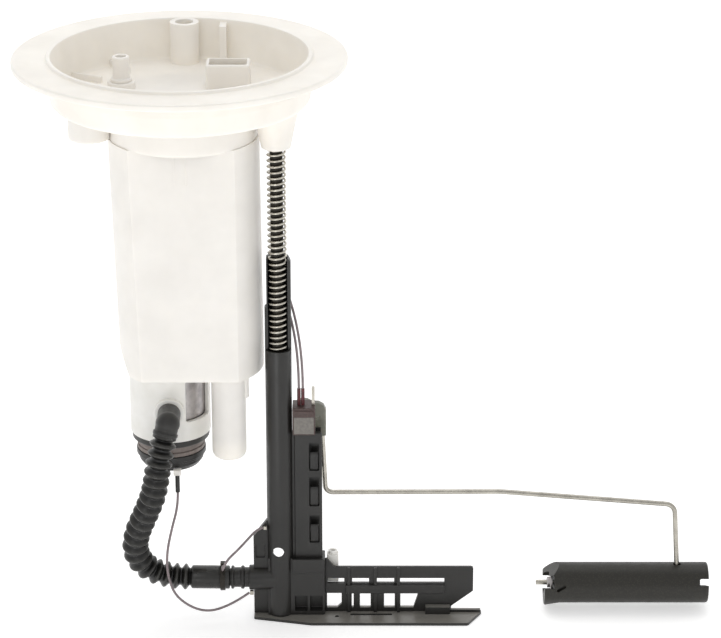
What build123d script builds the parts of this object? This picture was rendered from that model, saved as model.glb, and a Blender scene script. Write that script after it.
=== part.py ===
from build123d import *
import math
import os

# Sizes in millimetres. Origin: centre of the rim's underside, +Z out of the tank, -Y is the front.

# flange
rim_d = 155.0
rim_t = 3.0
lip_h = 1.3
lip_t = 2.0
bowl_d = 122.8
bowl_straight = 8.0
bowl_draft = 1.4
bowl_depth = 18.0
floor_t = 2.4
skirt_d = 69.4
skirt_t = 2.0
skirt_bottom = 34.6
riser_d = 13.8
riser_y = 53.0

# connector and outlet in the cup
connector_w = 20.6
connector_l = 13.0
connector_h = 11.5
connector_x = 21.6
connector_y = 14.0
shell_t = 1.5
pin_w = 2.2
pin_t = 0.8
pin_pitch = 4.0
outlet_x = -28.0
outlet_y = 10.0
outlet_d = 8.0
outlet_h = 15.5
outlet_step = 0.2
outlet_bore_d = 5.0

# vent valve
vent_x = -42.0
vent_y = -8.0
vent_d = 19.6
vent_bottom = 34.4
vent_t = 1.5
vent_float_d = 12.4

# canister, a can with a flattened front; it leans a little as its draft is uneven
can_x = 1.0
can_d = 70.6
can_low_x = 3.0
can_low_d = 68.4
can_flat = 25.4
can_bottom = 149.4
can_t = 1.8
neck_gap = 0.3
neck_h = 14.0

# filter inside the canister
filter_d = 46.0
filter_bore_d = 22.0
pleats = 30
paper_t = 1.1
filter_cap_t = 2.0
filter_gap = 2.0
socket_l = 5.0
socket_in = 2.8

# pump and its holder
pump_x = -8.2
pump_d = 34.2
pump_l = 80.0
pump_low = 184.6
pump_top_h = 14.0
nipple_d = 8.2
holder_d = 38.6
holder_t = 2.0
holder_top = 118.0
holder_bottom = 183.4
isolator_h = 3.4
inlet_d = 32.6
inlet_h = 5.6
end_cap_d = 33.4
end_cap_h = 8.2

# inlet elbow and hose
elbow_d = 10.6
elbow_bore_d = 7.4
elbow_x = -7.5
elbow_y = -32.6
elbow_z = 167.4
elbow_leg_end = -21.3
elbow_fall = 5.7
elbow_band = 1.6
stub_d = 14.4
stub_front = -21.0
hose_d = 11.0
hose_bore_d = 8.4

# regulator beside the pump
reg_x = 20.6
reg_y = -15.0
reg_d = 16.6
reg_bottom = 192.0
reg_t = 1.3

# heights above the top of the foot plate, which the spring holds on the tank's floor
foot_z = 276.6
boss_h = 18.7
block_h = 30.6
wall_h = 24.1
chamber_h = 25.1
column_l = 65.7
tube_l = 139.1
shell_l = 45.9
seat_in = 10.1
boss_z = foot_z - boss_h
column_low = foot_z - block_h
column_top = column_low - column_l
wall_top = foot_z - wall_h
chamber_z = foot_z - chamber_h
mouth_z = foot_z - tube_l
shell_top = mouth_z - shell_l
seat_z = mouth_z + seat_in

# guide: rod, spring, tube
rod_x = 44.3
rod_y = -12.0
rod_d = 6.0
rod_over = 29.9
run_gap = 0.08
boss_top_d = 21.6
boss_low_d = 13.6
boss_low = 37.4
gland_d = 5.4
gland_y = 0.6
gland_low = 24.0
spring_d = 9.2
wire_d = 1.1
coils = 38
coil_sides = 12
spring_top = 36.0
tube_d = 12.6
tube_bore_d = 9.9
bush_l = 14.0
bush_d = 8.2
stop_t = 1.2
rod_low = seat_z + bush_l + rod_over
stop_d = 8.9

# carrier column and block
column_x0 = 51.5
column_x1 = 64.8
column_t = 2.6
column_y = -14.2
window_w = 4.9
window_x = 61.0
windows = ((5.2, 19.8), (23.1, 38.6), (43.4, 58.0))
backing_y = -8.2
backing_t = 1.2
block_x0 = 31.3
block_x1 = 66.0
spigot_x = 19.5
spigot_d = 9.8
pin_places = (53.5, 62.5)
pin_y = -8.8

# foot bracket
wall_x1 = 138.3
wall_t = 2.0
plate_t = 1.6
plate_x1 = 142.4
plate_front = -24.5

# level sensor
pivot_x = 56.1
pivot_z = column_top - 7.7
journal_d = 4.0
housing_x0 = 50.8
housing_x1 = 61.6
housing_top = column_top - 13.9
housing_y0 = -17.0
housing_y1 = -6.0
card_t = 0.8
card_top = column_top - 9.2
sleeve_l = 8.4
blade_l = 8.9
post_places = (53.9, 55.8)
post_y = -12.0

# float arm
arm_y = -3.5
arm_wire_d = 2.4
float_d = 20.0
float_x0 = 173.2
float_x1 = 253.6
float_z = pivot_z + 92.3
float_entry_x = 238.9
nut_d = 9.4
slot_turn = -25.0
end_slot_w = 6.4
end_slot_l = 5.0
far_slot_w = 3.4
far_slot_l = 4.5
flare = 1.2
flare_l = 7.7

# leads
lead_d = 1.2
lead_x = -4.5
lead_y = -18.0
clip_h = 2.6
crimp_l = 9.0

made = {}


def keep(name, shape, colour):
    """Label one finished piece and set it aside for writing."""
    shape.label = name
    shape.color = Color(*colour)
    made[name] = shape


def tube(outer, inner, z0, z1, x=0.0, y=0.0):
    """A ring round the Z direction between two heights."""
    ring = Circle(outer / 2) - Circle(inner / 2)
    return Pos(x, y, z0) * extrude(ring, z1 - z0)


def rod(d, z0, z1, x=0.0, y=0.0):
    return Pos(x, y, z0) * extrude(Circle(d / 2), z1 - z0)


def block(x0, x1, y0, y1, z0, z1):
    centre = ((x0 + x1) / 2, (y0 + y1) / 2, (z0 + z1) / 2)
    return Pos(*centre) * Box(x1 - x0, y1 - y0, z1 - z0)


def slab(points, y0, y1):
    """A flat piece drawn in X and Z, filling y0 to y1."""
    outline = Plane.XZ * make_face(Polyline(*points, close=True))
    return Pos(0, y1, 0) * extrude(outline, y1 - y0)


def turned(points, x=0.0, y=0.0):
    """A piece turned about Z from an outline in radius and height."""
    outline = make_face(Polyline(*[(r, 0, z) for r, z in points], close=True))
    return Pos(x, y, 0) * revolve(outline, Axis.Z)


def bend_radii(points):
    radii = []
    for a, b, c in zip(points, points[1:], points[2:]):
        before, after = Vector(*b) - Vector(*a), Vector(*c) - Vector(*b)
        half = math.radians(before.get_angle(after)) / 2
        radii.append(0.45 * min(before.length, after.length) / math.tan(half))
    return radii


def cord(name, points, d, bore=0.0):
    """A tube of straight runs joined by tangent arcs."""
    radii = bend_radii(points)
    path = FilletPolyline(*points, radius=radii)
    start = Plane(origin=points[0], z_dir=Vector(*points[1]) - Vector(*points[0]))
    body = sweep(start * Circle(d / 2), path=path)
    if bore:
        body -= sweep(start * Circle(bore / 2), path=path)
    area = math.pi * (d * d - bore * bore) / 4
    print(name, "length", round(path.length, 1), "radii", [round(r, 1) for r in radii],
          "volume", round(body.volume), "expected", round(area * path.length))
    return body


def flange():
    r_rim, r_bowl = rim_d / 2, bowl_d / 2
    r_low, wall = r_bowl - bowl_draft, lip_t
    body = turned([
        (0, -bowl_depth), (r_low - 2.2, -bowl_depth), (r_low - 0.6, -bowl_depth + 0.7),
        (r_low, -bowl_depth + 2.4), (r_bowl, -bowl_straight), (r_bowl, 0), (r_rim - 0.6, 0),
        (r_rim, 0.6), (r_rim, rim_t - 0.9), (r_rim - 0.9, rim_t), (r_bowl + 0.6, rim_t),
        (r_bowl - 0.2, rim_t + lip_h - 0.4), (r_bowl - 0.8, rim_t + lip_h),
        (r_bowl - wall, rim_t + lip_h), (r_low - wall - 0.3, -bowl_depth + floor_t + 1.5),
        (r_low - wall - 1.8, -bowl_depth + floor_t), (0, -bowl_depth + floor_t)])
    floor = -bowl_depth + floor_t
    body += tube(skirt_d, skirt_d - 2 * skirt_t, -skirt_bottom, -bowl_depth, can_x)
    body += riser(floor)
    body += rod_socket(floor)
    body += block(connector_x - connector_w / 2, connector_x + connector_w / 2,
                  connector_y - connector_l / 2, connector_y + connector_l / 2,
                  floor, floor + connector_h)
    body -= connector_hollow(floor)
    body -= rod(rod_d, -boss_low - 1, floor + 1.5, rod_x, rod_y)
    body += rod(gland_d, -gland_low, -bowl_depth + 0.5, rod_x, gland_y)
    body += rod(outlet_d + 5, floor - 0.5, floor + 3.5, outlet_x, outlet_y)
    body -= rod(outlet_d + 2 * outlet_step, -bowl_depth - 1, floor + 9, outlet_x, outlet_y)
    for angle in (20, 160, 270):
        body -= Pos(can_x, 0, -26) * Rot(0, 0, angle + 90) * Pos(0, skirt_d / 2, 0) * Box(9, 8, 4)
    for k in range(5):
        body += floor_rib(floor, k)
    return body


def riser(floor):
    """The round column moulded against the back of the cup, and the narrow rib beside it."""
    r = bowl_d / 2 - lip_t / 2
    column = rod(riser_d, floor, rim_t + lip_h, -0.7, riser_y)
    rib = block(16.2, 19.4, 48, 62, floor, rim_t)
    both = column + rib
    both &= rod(2 * r, floor, rim_t + lip_h)
    return both - rod(riser_d - 5, floor + 9, rim_t + lip_h + 1, -0.7, riser_y)


def rod_socket(floor):
    """The tapered boss that holds the guide rod, with its seat for the spring."""
    boss = turned([(0, -boss_low), (boss_low_d / 2 - 0.4, -boss_low), (boss_low_d / 2, -boss_low + 0.5),
                   (boss_top_d / 2, -bowl_depth), (boss_top_d / 2, -bowl_depth + 0.5),
                   (0, -bowl_depth + 0.5)], rod_x, rod_y)
    boss += rod(rod_d + 5, floor - 0.5, floor + 3.5, rod_x, rod_y)
    return boss - tube(spring_d + 0.8, rod_d, -boss_low - 1, -spring_top, rod_x, rod_y)


def connector_hollow(floor):
    w, l = connector_w / 2 - shell_t, connector_l / 2 - shell_t
    return block(connector_x - w, connector_x + w, connector_y - l, connector_y + l,
                 floor + 2.5, floor + connector_h + 1)


def floor_rib(floor, k):
    """Stiffening ribs that fan out over the left of the cup's floor."""
    rib = block(42, 58.0, -0.8, 0.8, floor - 0.2, floor + 3.0)
    return Rot(0, 0, 128 + 26 * k) * rib


def connector_pins():
    floor = -bowl_depth + floor_t
    pins = None
    for k in range(4):
        x = connector_x + (k - 1.5) * pin_pitch
        pin = block(x - pin_w / 2, x + pin_w / 2, connector_y - pin_t / 2, connector_y + pin_t / 2,
                    floor + 2.5, floor + connector_h - 2)
        pins = pin if pins is None else pins + pin
    strap = block(connector_x - 1.5 * pin_pitch - 2, connector_x + 1.5 * pin_pitch + 2,
                  connector_y - 2, connector_y + 2, floor + 2.5, floor + 3.3)
    return strap + pins


def outlet_nipple():
    floor = -bowl_depth + floor_t
    r, top, bead = outlet_d / 2, floor + outlet_h, floor + 3.5
    foot = r + outlet_step
    body = turned([(0, -bowl_depth), (foot, -bowl_depth), (foot, bead), (r + 1.0, bead),
                   (r + 1.0, bead + 1.2), (r, bead + 1.8), (r, top - 1.0), (r - 0.8, top), (0, top)],
                  outlet_x, outlet_y)
    return body - rod(outlet_bore_d, -bowl_depth - 1, top + 1, outlet_x, outlet_y)


def vent_housing():
    r = vent_d / 2
    body = turned([(0, -vent_bottom), (r - 1.2, -vent_bottom), (r, -vent_bottom + 1.2),
                   (r, -bowl_depth), (0, -bowl_depth)], vent_x, vent_y)
    hollow = rod(vent_d - 2 * vent_t, -vent_bottom + vent_t, -bowl_depth - vent_t, vent_x, vent_y)
    body -= hollow - rod(skirt_d + 0.4 + 2 * vent_t, -vent_bottom - 1, 0, can_x)
    body -= rod(5.0, -bowl_depth - 2, -bowl_depth + 1, vent_x, vent_y)
    for angle in (-10, 25, 60):
        port = Pos(vent_x, vent_y, -26) * Rot(0, 0, angle) * Pos(0, r, 0) * Box(3, 6, 4)
        body -= port
    return body - rod(skirt_d + 0.4, -vent_bottom - 1, 0, can_x)


def vent_float():
    r, low = vent_float_d / 2, -vent_bottom + vent_t
    return turned([(0, low), (r, low), (r, low + 6.6), (2.0, low + 8.2), (0, low + 10.3)],
                  vent_x, vent_y)


def can_form(inset, top, low):
    """The canister's form between two depths, moved inwards by inset: a leaning cone with a flat front."""
    run, reach = can_bottom - skirt_bottom, 10.0
    lean, draft = (can_x - can_low_x) / run, (can_d - can_low_d) / 2 / run
    base = Plane(origin=(can_low_x - lean * reach, 0, -can_bottom - reach), z_dir=(lean, 0, 1))
    length, r = (run + 2 * reach) * math.hypot(1, lean), can_low_d / 2 - draft * reach - inset
    body = base * Cone(r, r + draft * length, length, align=(Align.CENTER, Align.CENTER, Align.MIN))
    body &= block(-can_d, can_d, -can_flat + inset, can_d, -low, -top)
    return body - left_bevel(inset)


def left_bevel(inset):
    """The canister's lower left edge slopes in to meet the pump holder."""
    x, d = can_low_x - can_low_d / 2 + inset, can_bottom
    return slab([(x - 9, -d + 12), (x - 0.2, -d + 12), (x + 5.4, -d - 1.0), (x - 9, -d - 1.0)], -50, 50)


def filter_canister():
    body = can_form(0, skirt_bottom, can_bottom)
    body -= can_form(can_t, skirt_bottom + can_t, can_bottom - can_t)
    neck_d = skirt_d - 2 * skirt_t - 2 * neck_gap
    body += tube(neck_d, neck_d - 3.2, -skirt_bottom - 0.2, -skirt_bottom + neck_h, can_x)
    for angle in (20, 160, 270):
        lug = Pos(can_x, 0, -26) * Rot(0, 0, angle + 90) * Pos(0, neck_d / 2, 0) * Box(8, 2.4, 3)
        body += lug
    for x in (-2.2, 3.0):
        body += block(x - 0.4, x + 0.4, -can_flat - 0.35, -can_flat + 0.5, -52, -skirt_bottom - 1)
    body -= rod(holder_d + 0.2, -can_bottom - 1, -can_bottom + 14, pump_x)
    body -= rod(reg_d, -can_bottom - 1, -can_bottom + can_t + 1, reg_x, reg_y)
    return body


def filter_element():
    """Folded paper wound into a ring."""
    points, r0, r1 = [], filter_bore_d / 2 + 1.2, filter_d / 2 - 1.0
    n = 2 * pleats
    outer = [polar(r1 if k % 2 else r0 + paper_t, k * math.pi / pleats) for k in range(n)]
    inner = [polar(r1 - paper_t if k % 2 else r0, k * math.pi / pleats) for k in range(n)]
    paper = make_face(Polyline(*outer, close=True)) - make_face(Polyline(*inner, close=True))
    return Pos(can_x + 0.6, 0, -filter_low()) * extrude(paper, filter_low() - filter_top())


def polar(r, angle):
    return (r * math.cos(angle), r * math.sin(angle))


def filter_low():
    """The paper ends where the lower cap's socket takes the pump's nipple."""
    return pump_low - pump_l - pump_top_h + socket_in - socket_l - filter_cap_t


def filter_top():
    return skirt_bottom + can_t + filter_gap + filter_cap_t


def filter_upper_cap():
    z = -filter_top()
    body = tube(filter_d, filter_bore_d - 8, z, z + filter_cap_t, can_x + 0.6)
    return body + tube(filter_bore_d - 4, filter_bore_d - 8, z - 6, z, can_x + 0.6)


def filter_lower_cap():
    z = -filter_low() - filter_cap_t
    body = rod(filter_d, z, z + filter_cap_t, can_x + 0.6)
    body += rod(nipple_d + 4.8, z - socket_l, z, pump_x)
    return body - rod(nipple_d + 0.1, z - socket_l - 1, z + filter_cap_t + 1, pump_x)


def pump_holder():
    body = tube(holder_d, holder_d - 2 * holder_t, -holder_bottom, -holder_top, pump_x)
    cut = Pos(pump_x, 0, 0) * Rot(0, 0, -40) * block(0, 30, -7.9, 7.9, -173.6, -152.0)
    body -= cut
    body += elbow_stub()
    return body - fill_stub()


def forward(x, y, z):
    """A place whose drawing direction points to the front."""
    return Pos(x, y, z) * Rot(90, 0, 0)


def elbow_stub():
    start = -16.0
    ring = forward(elbow_x, start, -elbow_z) * extrude(Circle(stub_d / 2), start - stub_front)
    spout = forward(elbow_x, start, -elbow_z) * extrude(Circle(elbow_bore_d / 2 - 0.1), 13.5)
    return ring + spout - rod(holder_d - 2 * holder_t, -holder_bottom, -holder_top, pump_x)


def fill_stub():
    return forward(elbow_x, -12, -elbow_z) * extrude(Circle(2.2), 19)


def fuel_pump():
    r, low, top = pump_d / 2, -pump_low, -pump_low + pump_l
    return turned([(0, low), (r - 1.6, low), (r - 0.4, low + 0.8), (r, low + 2), (r, low + 9),
                   (r - 0.7, low + 9.6), (r - 0.7, low + 11), (r, low + 11.6), (r, top - 10),
                   (r - 0.7, top - 9.4), (r - 0.7, top - 8), (r, top - 7.4), (r, top - 2),
                   (r - 0.4, top - 0.8), (r - 1.6, top), (0, top)], pump_x)


def pump_top():
    z, r, nipple, h = -pump_low + pump_l, pump_d / 2 - 1.8, nipple_d / 2, pump_top_h
    body = turned([(0, z), (r, z), (r, z + 3.5), (r - 1.5, z + 5), (nipple + 1.1, z + 5), (nipple, z + 6.5),
                   (nipple, z + h - 1), (nipple - 0.6, z + h), (0, z + h)], pump_x)
    body -= rod(nipple_d - 3.6, z + 3, z + h + 1, pump_x)
    for side in (-1, 1):
        body += block(pump_x - 2.4, pump_x + 2.4, side * 11 - 1.2, side * 11 + 1.2, z + 4.5, z + 9)
    return body


def check_valve():
    z = -pump_low + pump_l + 3
    return turned([(0, z), (2.1, z), (2.1, z + 4), (1.1, z + 5), (1.1, z + 8), (0, z + 8)], pump_x)


def pump_isolator():
    low = -holder_bottom - isolator_h
    body = turned([(0, low + 0.8), (pump_d / 2 - 0.6, low + 0.8), (pump_d / 2 - 0.6, low),
                   (holder_d / 2 - 1.6, low), (holder_d / 2 - 0.7, low + 1), (holder_d / 2 - 0.7, -holder_bottom),
                   (0, -holder_bottom)], pump_x)
    return body - rod(pump_d, -pump_low, -holder_bottom + 1, pump_x) - rod(26, -holder_bottom - 9, -pump_low, pump_x)


def inlet_cover():
    top, low = -pump_low, -holder_bottom - isolator_h - inlet_h
    body = rod(25.4, low, top, pump_x) + rod(inlet_d, low, low + inlet_h, pump_x)
    return body - rod(7.0, low - 1, top + 1, pump_x, 6.0)


def pump_end_cap():
    top = -holder_bottom - isolator_h - inlet_h
    r = end_cap_d / 2
    body = turned([(0, top - end_cap_h), (r - 3.2, top - end_cap_h), (r - 1.6, top - end_cap_h + 1.0),
                   (r - 1.0, top - 3.4), (r, top - 2.8), (r, top), (0, top)], pump_x)
    body -= rod(22, top - end_cap_h + 1.4, top + 1, pump_x)
    return body


def inlet_elbow():
    """Smooth rubber elbow from the holder's spout down to the hose."""
    r, leg = elbow_d / 2, elbow_leg_end - elbow_y
    body = Pos(elbow_x, elbow_y, -elbow_z) * Sphere(r)
    body += forward(elbow_x, elbow_leg_end, -elbow_z) * extrude(Circle(r), leg)
    fall = Plane(origin=(elbow_x, elbow_y, -elbow_z), z_dir=elbow_way())
    body += fall * extrude(Circle(r), elbow_fall)
    body += fall * Pos(0, 0, elbow_fall - elbow_band) * extrude(Circle(r + 0.5), elbow_band)
    body -= forward(elbow_x, elbow_leg_end + 1, -elbow_z) * extrude(Circle(elbow_bore_d / 2), leg + 1)
    return body - fall * extrude(Circle(elbow_bore_d / 2), elbow_fall + 1)


def elbow_way():
    return Vector(-2.9, -3.2, -11.6).normalized()


def suction_hose():
    start = Vector(elbow_x, elbow_y, -elbow_z) + elbow_way() * elbow_fall
    first = start + elbow_way() * 13.0
    points = [tuple(start), tuple(first), (-14.4, -34.8, -202.0), (-19.2, -29.5, -215.4),
              (-24.0, -24.0, -227.6), (-26.2, -18.8, -240.0), (-21.6, -14.2, -251.4),
              (-10.4, -12.3, -257.0), (4.4, rod_y, -boss_z), (spigot_x, rod_y, -boss_z)]
    return cord("suction_hose", points, hose_d, hose_bore_d)


def regulator_housing():
    r, low, top = reg_d / 2, -reg_bottom, -can_bottom + can_t
    outer = rod(reg_d - 0.2, low + r, top, reg_x, reg_y) + Pos(reg_x, reg_y, low + r) * Sphere(r - 0.1)
    inner = rod(reg_d - 2 * reg_t, low + r, top + 1, reg_x, reg_y)
    nub = Pos(reg_x + r - 1.2, reg_y, -161.5) * extrude(Circle(2.6), 10.5)
    return outer + nub - inner


def regulator_low():
    return -reg_bottom + reg_d / 2 + 8.3


def pressure_regulator():
    r, low = reg_d / 2 - reg_t - 0.6, regulator_low()
    return turned([(0, low - 3), (1.6, low - 3), (1.6, low), (r, low), (r, low + 9), (r - 1.6, low + 10),
                   (r - 1.6, low + 13), (r, low + 14), (r, low + 20), (r - 2, low + 21),
                   (0, low + 21)], reg_x, reg_y)


def regulator_seal():
    r, z = reg_d / 2 - reg_t, regulator_low() + 11.5
    return tube(2 * r - 0.1, 2 * r - 3.8, z - 1.0, z + 1.0, reg_x, reg_y)


def guide_rod():
    r, top = rod_d / 2, -bowl_depth + floor_t + 1.5
    return turned([(0, -rod_low), (r - 0.8, -rod_low), (r, -rod_low + 1.2), (r, top - 0.5),
                   (r - 0.5, top), (0, top)], rod_x, rod_y)


def rod_stop_ring():
    top = -seat_z - bush_l
    return tube(stop_d, rod_d, top - stop_t, top, rod_x, rod_y)


def guide_spring():
    """Round-wire spring, drawn with a square wire of the same width and straight runs."""
    rise = (seat_z - spring_top - wire_d - 0.1) / (coils * coil_sides)
    r0, r1, h = spring_d / 2 - wire_d, spring_d / 2, wire_d / 2
    rows = []
    for k in range(coils * coil_sides + 1):
        (x0, y0), (x1, y1) = polar(r0, k * math.tau / coil_sides), polar(r1, k * math.tau / coil_sides)
        low, high = rise * k - h, rise * k + h
        rows.append(((x0, y0, low), (x1, y1, low), (x1, y1, high), (x0, y0, high)))
    faces = [flat(*rows[0]), flat(*rows[-1])]
    for a, b in zip(rows, rows[1:]):
        faces += [flat(a[1], b[1], b[2], a[2]), flat(a[0], b[0], b[3], a[3])]
        for i, j in ((0, 1), (3, 2)):
            faces += [flat(a[i], a[j], b[j]), flat(a[i], b[j], b[i])]
    return Pos(rod_x, rod_y, -seat_z + h + 0.05) * Solid(Shell(faces))


def flat(*corners):
    return Face(Wire.make_polygon([Vector(*corner) for corner in corners], close=True))


def up(height):
    """A height above the top of the foot plate."""
    return -foot_z + height


def guide_carrier():
    body = rod(tube_d, -foot_z, -mouth_z, rod_x, rod_y)
    body += open_shell()
    body += column() + hose_block()
    body -= rod(tube_bore_d, -seat_z, -shell_top + 1, rod_x, rod_y)
    body -= rod(bush_d, -seat_z - bush_l, -seat_z + 1, rod_x, rod_y)
    body -= rod(tube_bore_d, -chamber_z, -seat_z - bush_l, rod_x, rod_y)
    for x in pin_places:
        body -= rod(3.2, -foot_z - 1, -foot_z + 4.2, x, pin_y)
    return body - cross_hole()


def open_shell():
    """Above the mouth only the back of the tube goes on, to steady the spring."""
    shell = rod(tube_d, -mouth_z - 0.1, -shell_top, rod_x, rod_y)
    shell -= block(rod_x - 9, rod_x + 9, rod_y - 9, rod_y - 1.7, -mouth_z, -shell_top + 1)
    shell -= block(rod_x - 9, rod_x - 5.3, rod_y - 9, rod_y + 9, -mouth_z + 21.5, -shell_top + 1)
    nose = [(rod_x + 4, -shell_top + 1), (rod_x + 9, -shell_top + 1), (rod_x + 9, -shell_top - 4.5)]
    return shell - slab(nose, rod_y - 9, rod_y + 9)


def cross_hole():
    w = 2.7
    front = Pos(rod_x - 0.8, rod_y, up(34.8)) * Rot(90, 0, 0) * extrude(Circle(w), 12)
    back = block(rod_x - 0.8 - w, rod_x - 0.8 + w, rod_y, rod_y + 12, up(26.0), up(36.0))
    return front + back


def column():
    y0, y1 = column_y, column_y + column_t
    body = block(column_x0, column_x1, y0, y1, -column_low - 1, -column_top)
    body += block(rod_x, column_x0 + 1.5, y0 + 1.0, y1 + 1.5, -column_low - 1, -column_top)
    body += block(column_x0, column_x0 + 1.6, y0 + 1.0, -6.2, -column_low - 1, -column_top)
    body += block(column_x0, column_x1 - 0.6, backing_y, backing_y + backing_t, -column_low - 1, -column_top)
    for top, low in windows:
        top, low = column_top + top, column_top + low
        body -= block(window_x - window_w / 2, window_x + window_w / 2, y0 - 1, y1 + 1, -low, -top)
        body += latch(top, low)
    rest_z = -column_top - 22.7
    body += block(60.4, arm_rest_x(), y1 - 0.5, arm_y + 1.0, rest_z, rest_z + 3.5)
    return body


def arm_rest_x():
    """The empty stop: the float wire hangs just clear of it."""
    return 65.3 - arm_wire_d / 2 - 0.3


def latch(top, low):
    """A snap tongue standing in its window, thinner towards its free end."""
    y, h = column_y + 1.1, 0.62 * (low - top)
    x0, x1 = window_x - window_w / 2 + 0.5, window_x + window_w / 2 - 0.5
    side = [(y + 1.4, -low - 0.3), (y, -low - 0.3), (y, -low + h - 1.6), (y + 0.6, -low + h),
            (y + 1.4, -low + h)]
    outline = make_face(Polyline(*[(x0, a, b) for a, b in side], close=True))
    return extrude(outline, x1 - x0, dir=(1, 0, 0))


def hose_block():
    wing = slab([(block_x0, -foot_z), (rod_x, -foot_z), (rod_x, up(50.1)), (37.9, up(50.1)),
                 (block_x0, up(41.2))], rod_y - 1.6, rod_y + 1.6)
    body = wing - block(block_x0 + 1, 37.0, rod_y - 3, rod_y - 0.6, up(30.0), up(37.0))
    body += block(38.2, block_x1, -15.8, -6.2, -foot_z, -column_low)
    body += block(50.0, block_x1, -17.2, -15.0, up(23.3), -column_low)
    for x0 in (51.2, 58.6):
        body -= block(x0, x0 + 6.2, -18, -11.6, up(2.2), up(10.4))
    boss = Pos(29.0, rod_y, -boss_z) * Rot(0, 90, 0)
    body += boss * extrude(Circle(6.1), rod_x - 29.0)
    body += spigot()
    bore = Pos(spigot_x - 1, rod_y, -boss_z) * Rot(0, 90, 0) * extrude(Circle(2.6), rod_x - spigot_x)
    return body - bore


def spigot():
    r = spigot_d / 2
    side = [(0, 0), (r, 0), (r, 0.6), (r + 0.8, 0.9), (r + 0.8, 1.9), (r, 2.4), (r, 5.4), (r + 0.8, 5.8),
            (r + 0.8, 6.9), (r, 7.4), (r, 10.5), (0, 10.5)]
    return Pos(spigot_x, rod_y, -boss_z) * Rot(0, 90, 0) * turned(side)


def guide_bushing():
    return tube(bush_d, rod_d + 2 * run_gap, -seat_z - bush_l, -seat_z, rod_x, rod_y)


def foot_bracket():
    y0, y1 = rod_y, rod_y + wall_t
    wall = slab([(block_x1, -foot_z), (127.6, -foot_z), (127.6, up(2.8)), (wall_x1, up(11.1)),
                 (wall_x1, -wall_top - 2.7), (wall_x1 - 1.4, -wall_top), (70.4, -wall_top),
                 (block_x1, up(29.6))], y0, y1)
    for x0, x1 in ((67.2, 75.3), (79.2, 87.4), (91.3, 99.7), (102.6, 124.2)):
        wall -= block(x0, x1, y0 - 1, y1 + 1, up(15.3), up(18.1))
    for hole in window_outlines():
        wall -= slab(hole, y0 - 1, y1 + 1)
    body = wall + block(76.0, 124.4, y0 - 1.6, y0 + 0.1, up(10.4), up(14.9))
    for x in (76.8, 89.8, 101.0):
        body += block(x, x + 1.5, y0 - 1.2, y0 + 0.1, -foot_z, -wall_top)
    body += block(115.0, 127.0, y0 - 3.2, y0 + 0.1, -foot_z, up(3.8))
    body += block(127.0, plate_x1, y0 - 0.8, y0 + 1.2, -foot_z - 0.1, -foot_z + 1.4)
    body += foot_plate()
    body += block(66.6, 72.8, y1 - 0.1, y1 + 1.2, up(18.8), up(23.2))
    for x in pin_places:
        body += rod(3.0, -foot_z - 0.1, -foot_z + 4.0, x, pin_y)
    return body


def window_outlines():
    top, low = up(10.0), up(2.2)
    return [
        [(66.9, top), (74.0, top), (74.0, low + 2.0), (72.0, low), (66.9, low)],
        [(79.0, top), (79.9, top), (79.9, low), (79.0, low)],
        [(83.0, top), (88.2, top), (88.2, low), (83.0, low)],
        [(94.8, top), (100.0, top), (100.0, low), (94.8, low)],
        [(102.8, top), (111.6, top), (109.2, low), (102.8, low)],
    ]


def foot_plate():
    outline = [(block_x0, -6.5), (block_x0, -17.6), (59.2, plate_front + 0.2), (135.6, plate_front),
               (plate_x1, rod_y), (plate_x1, rod_y + 2.0), (block_x1, rod_y + 2.0), (block_x1, -6.5)]
    plate = Pos(0, 0, -foot_z - plate_t) * extrude(make_face(Polyline(*outline, close=True)), plate_t)
    plate -= rod(2.0, -foot_z - 3, -foot_z + 1, 71.8, -17.3)
    plate -= block(78.2, 98.8, -16.2, -14.4, -foot_z - 3, -foot_z + 1)
    return plate - rod(8.4, -foot_z - 3, -foot_z + 1, rod_x, rod_y)


def foot_strainer():
    """Screen in the plate's inlet hole, with its ribs."""
    low = -foot_z - plate_t
    bars = block(rod_x - 5, rod_x + 5, rod_y - 0.25, rod_y + 0.25, low, low + 0.8)
    for k in range(4):
        shift = -2.4 + 1.6 * k
        bars += block(rod_x + shift - 0.25, rod_x + shift + 0.25, rod_y - 5, rod_y + 5, low, low + 0.8)
        bars += block(rod_x - 5, rod_x + 5, rod_y + shift - 0.25, rod_y + shift + 0.25, low, low + 0.8)
    bars &= rod(7.0, low, low + 0.8, rod_x, rod_y)
    return tube(8.4, 6.4, low, -foot_z, rod_x, rod_y) + bars


def jet_nozzle():
    y0 = rod_y + wall_t + 1.2
    body = block(66.9, 72.5, y0, y0 + 5.0, up(14.6), up(29.2))
    body += Pos(69.7, y0 + 2.5, up(29.2)) * extrude(Circle(2.2), 1.4)
    return body - Pos(69.7, y0 + 2.5, up(20.6)) * extrude(Circle(1.2), 12)


def sensor_housing():
    x0, x1, low = housing_x0, housing_x1, -column_top
    body = block(x0, x1, housing_y0, housing_y1, low, -housing_top)
    body -= block(x0 + 0.6, x1 - 0.5, housing_y0 - 1, housing_y0 + card_t, low + 0.5, -card_top + 0.1)
    hub = forward(pivot_x, 0, -pivot_z)
    body -= hub * Pos(0, 0, 9.0) * extrude(Circle(4.5), 6.2)
    body -= hub * Pos(0, 0, 5.0) * extrude(Circle(journal_d / 2 + 0.05), 5.0)
    body += block(x0 + 0.8, x1 - 0.8, housing_y0 - 0.5, housing_y0 + 0.2,
                  -housing_top - 2.6, -housing_top - 1.2)
    for x in post_places:
        body -= rod(1.0, -housing_top - 2.6, -housing_top + 1, x, post_y)
    return body


def sensor_card():
    body = block(housing_x0 + 0.7, housing_x1 - 0.6, housing_y0, housing_y0 + card_t,
                 -column_top + 0.6, -card_top)
    return body


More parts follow.
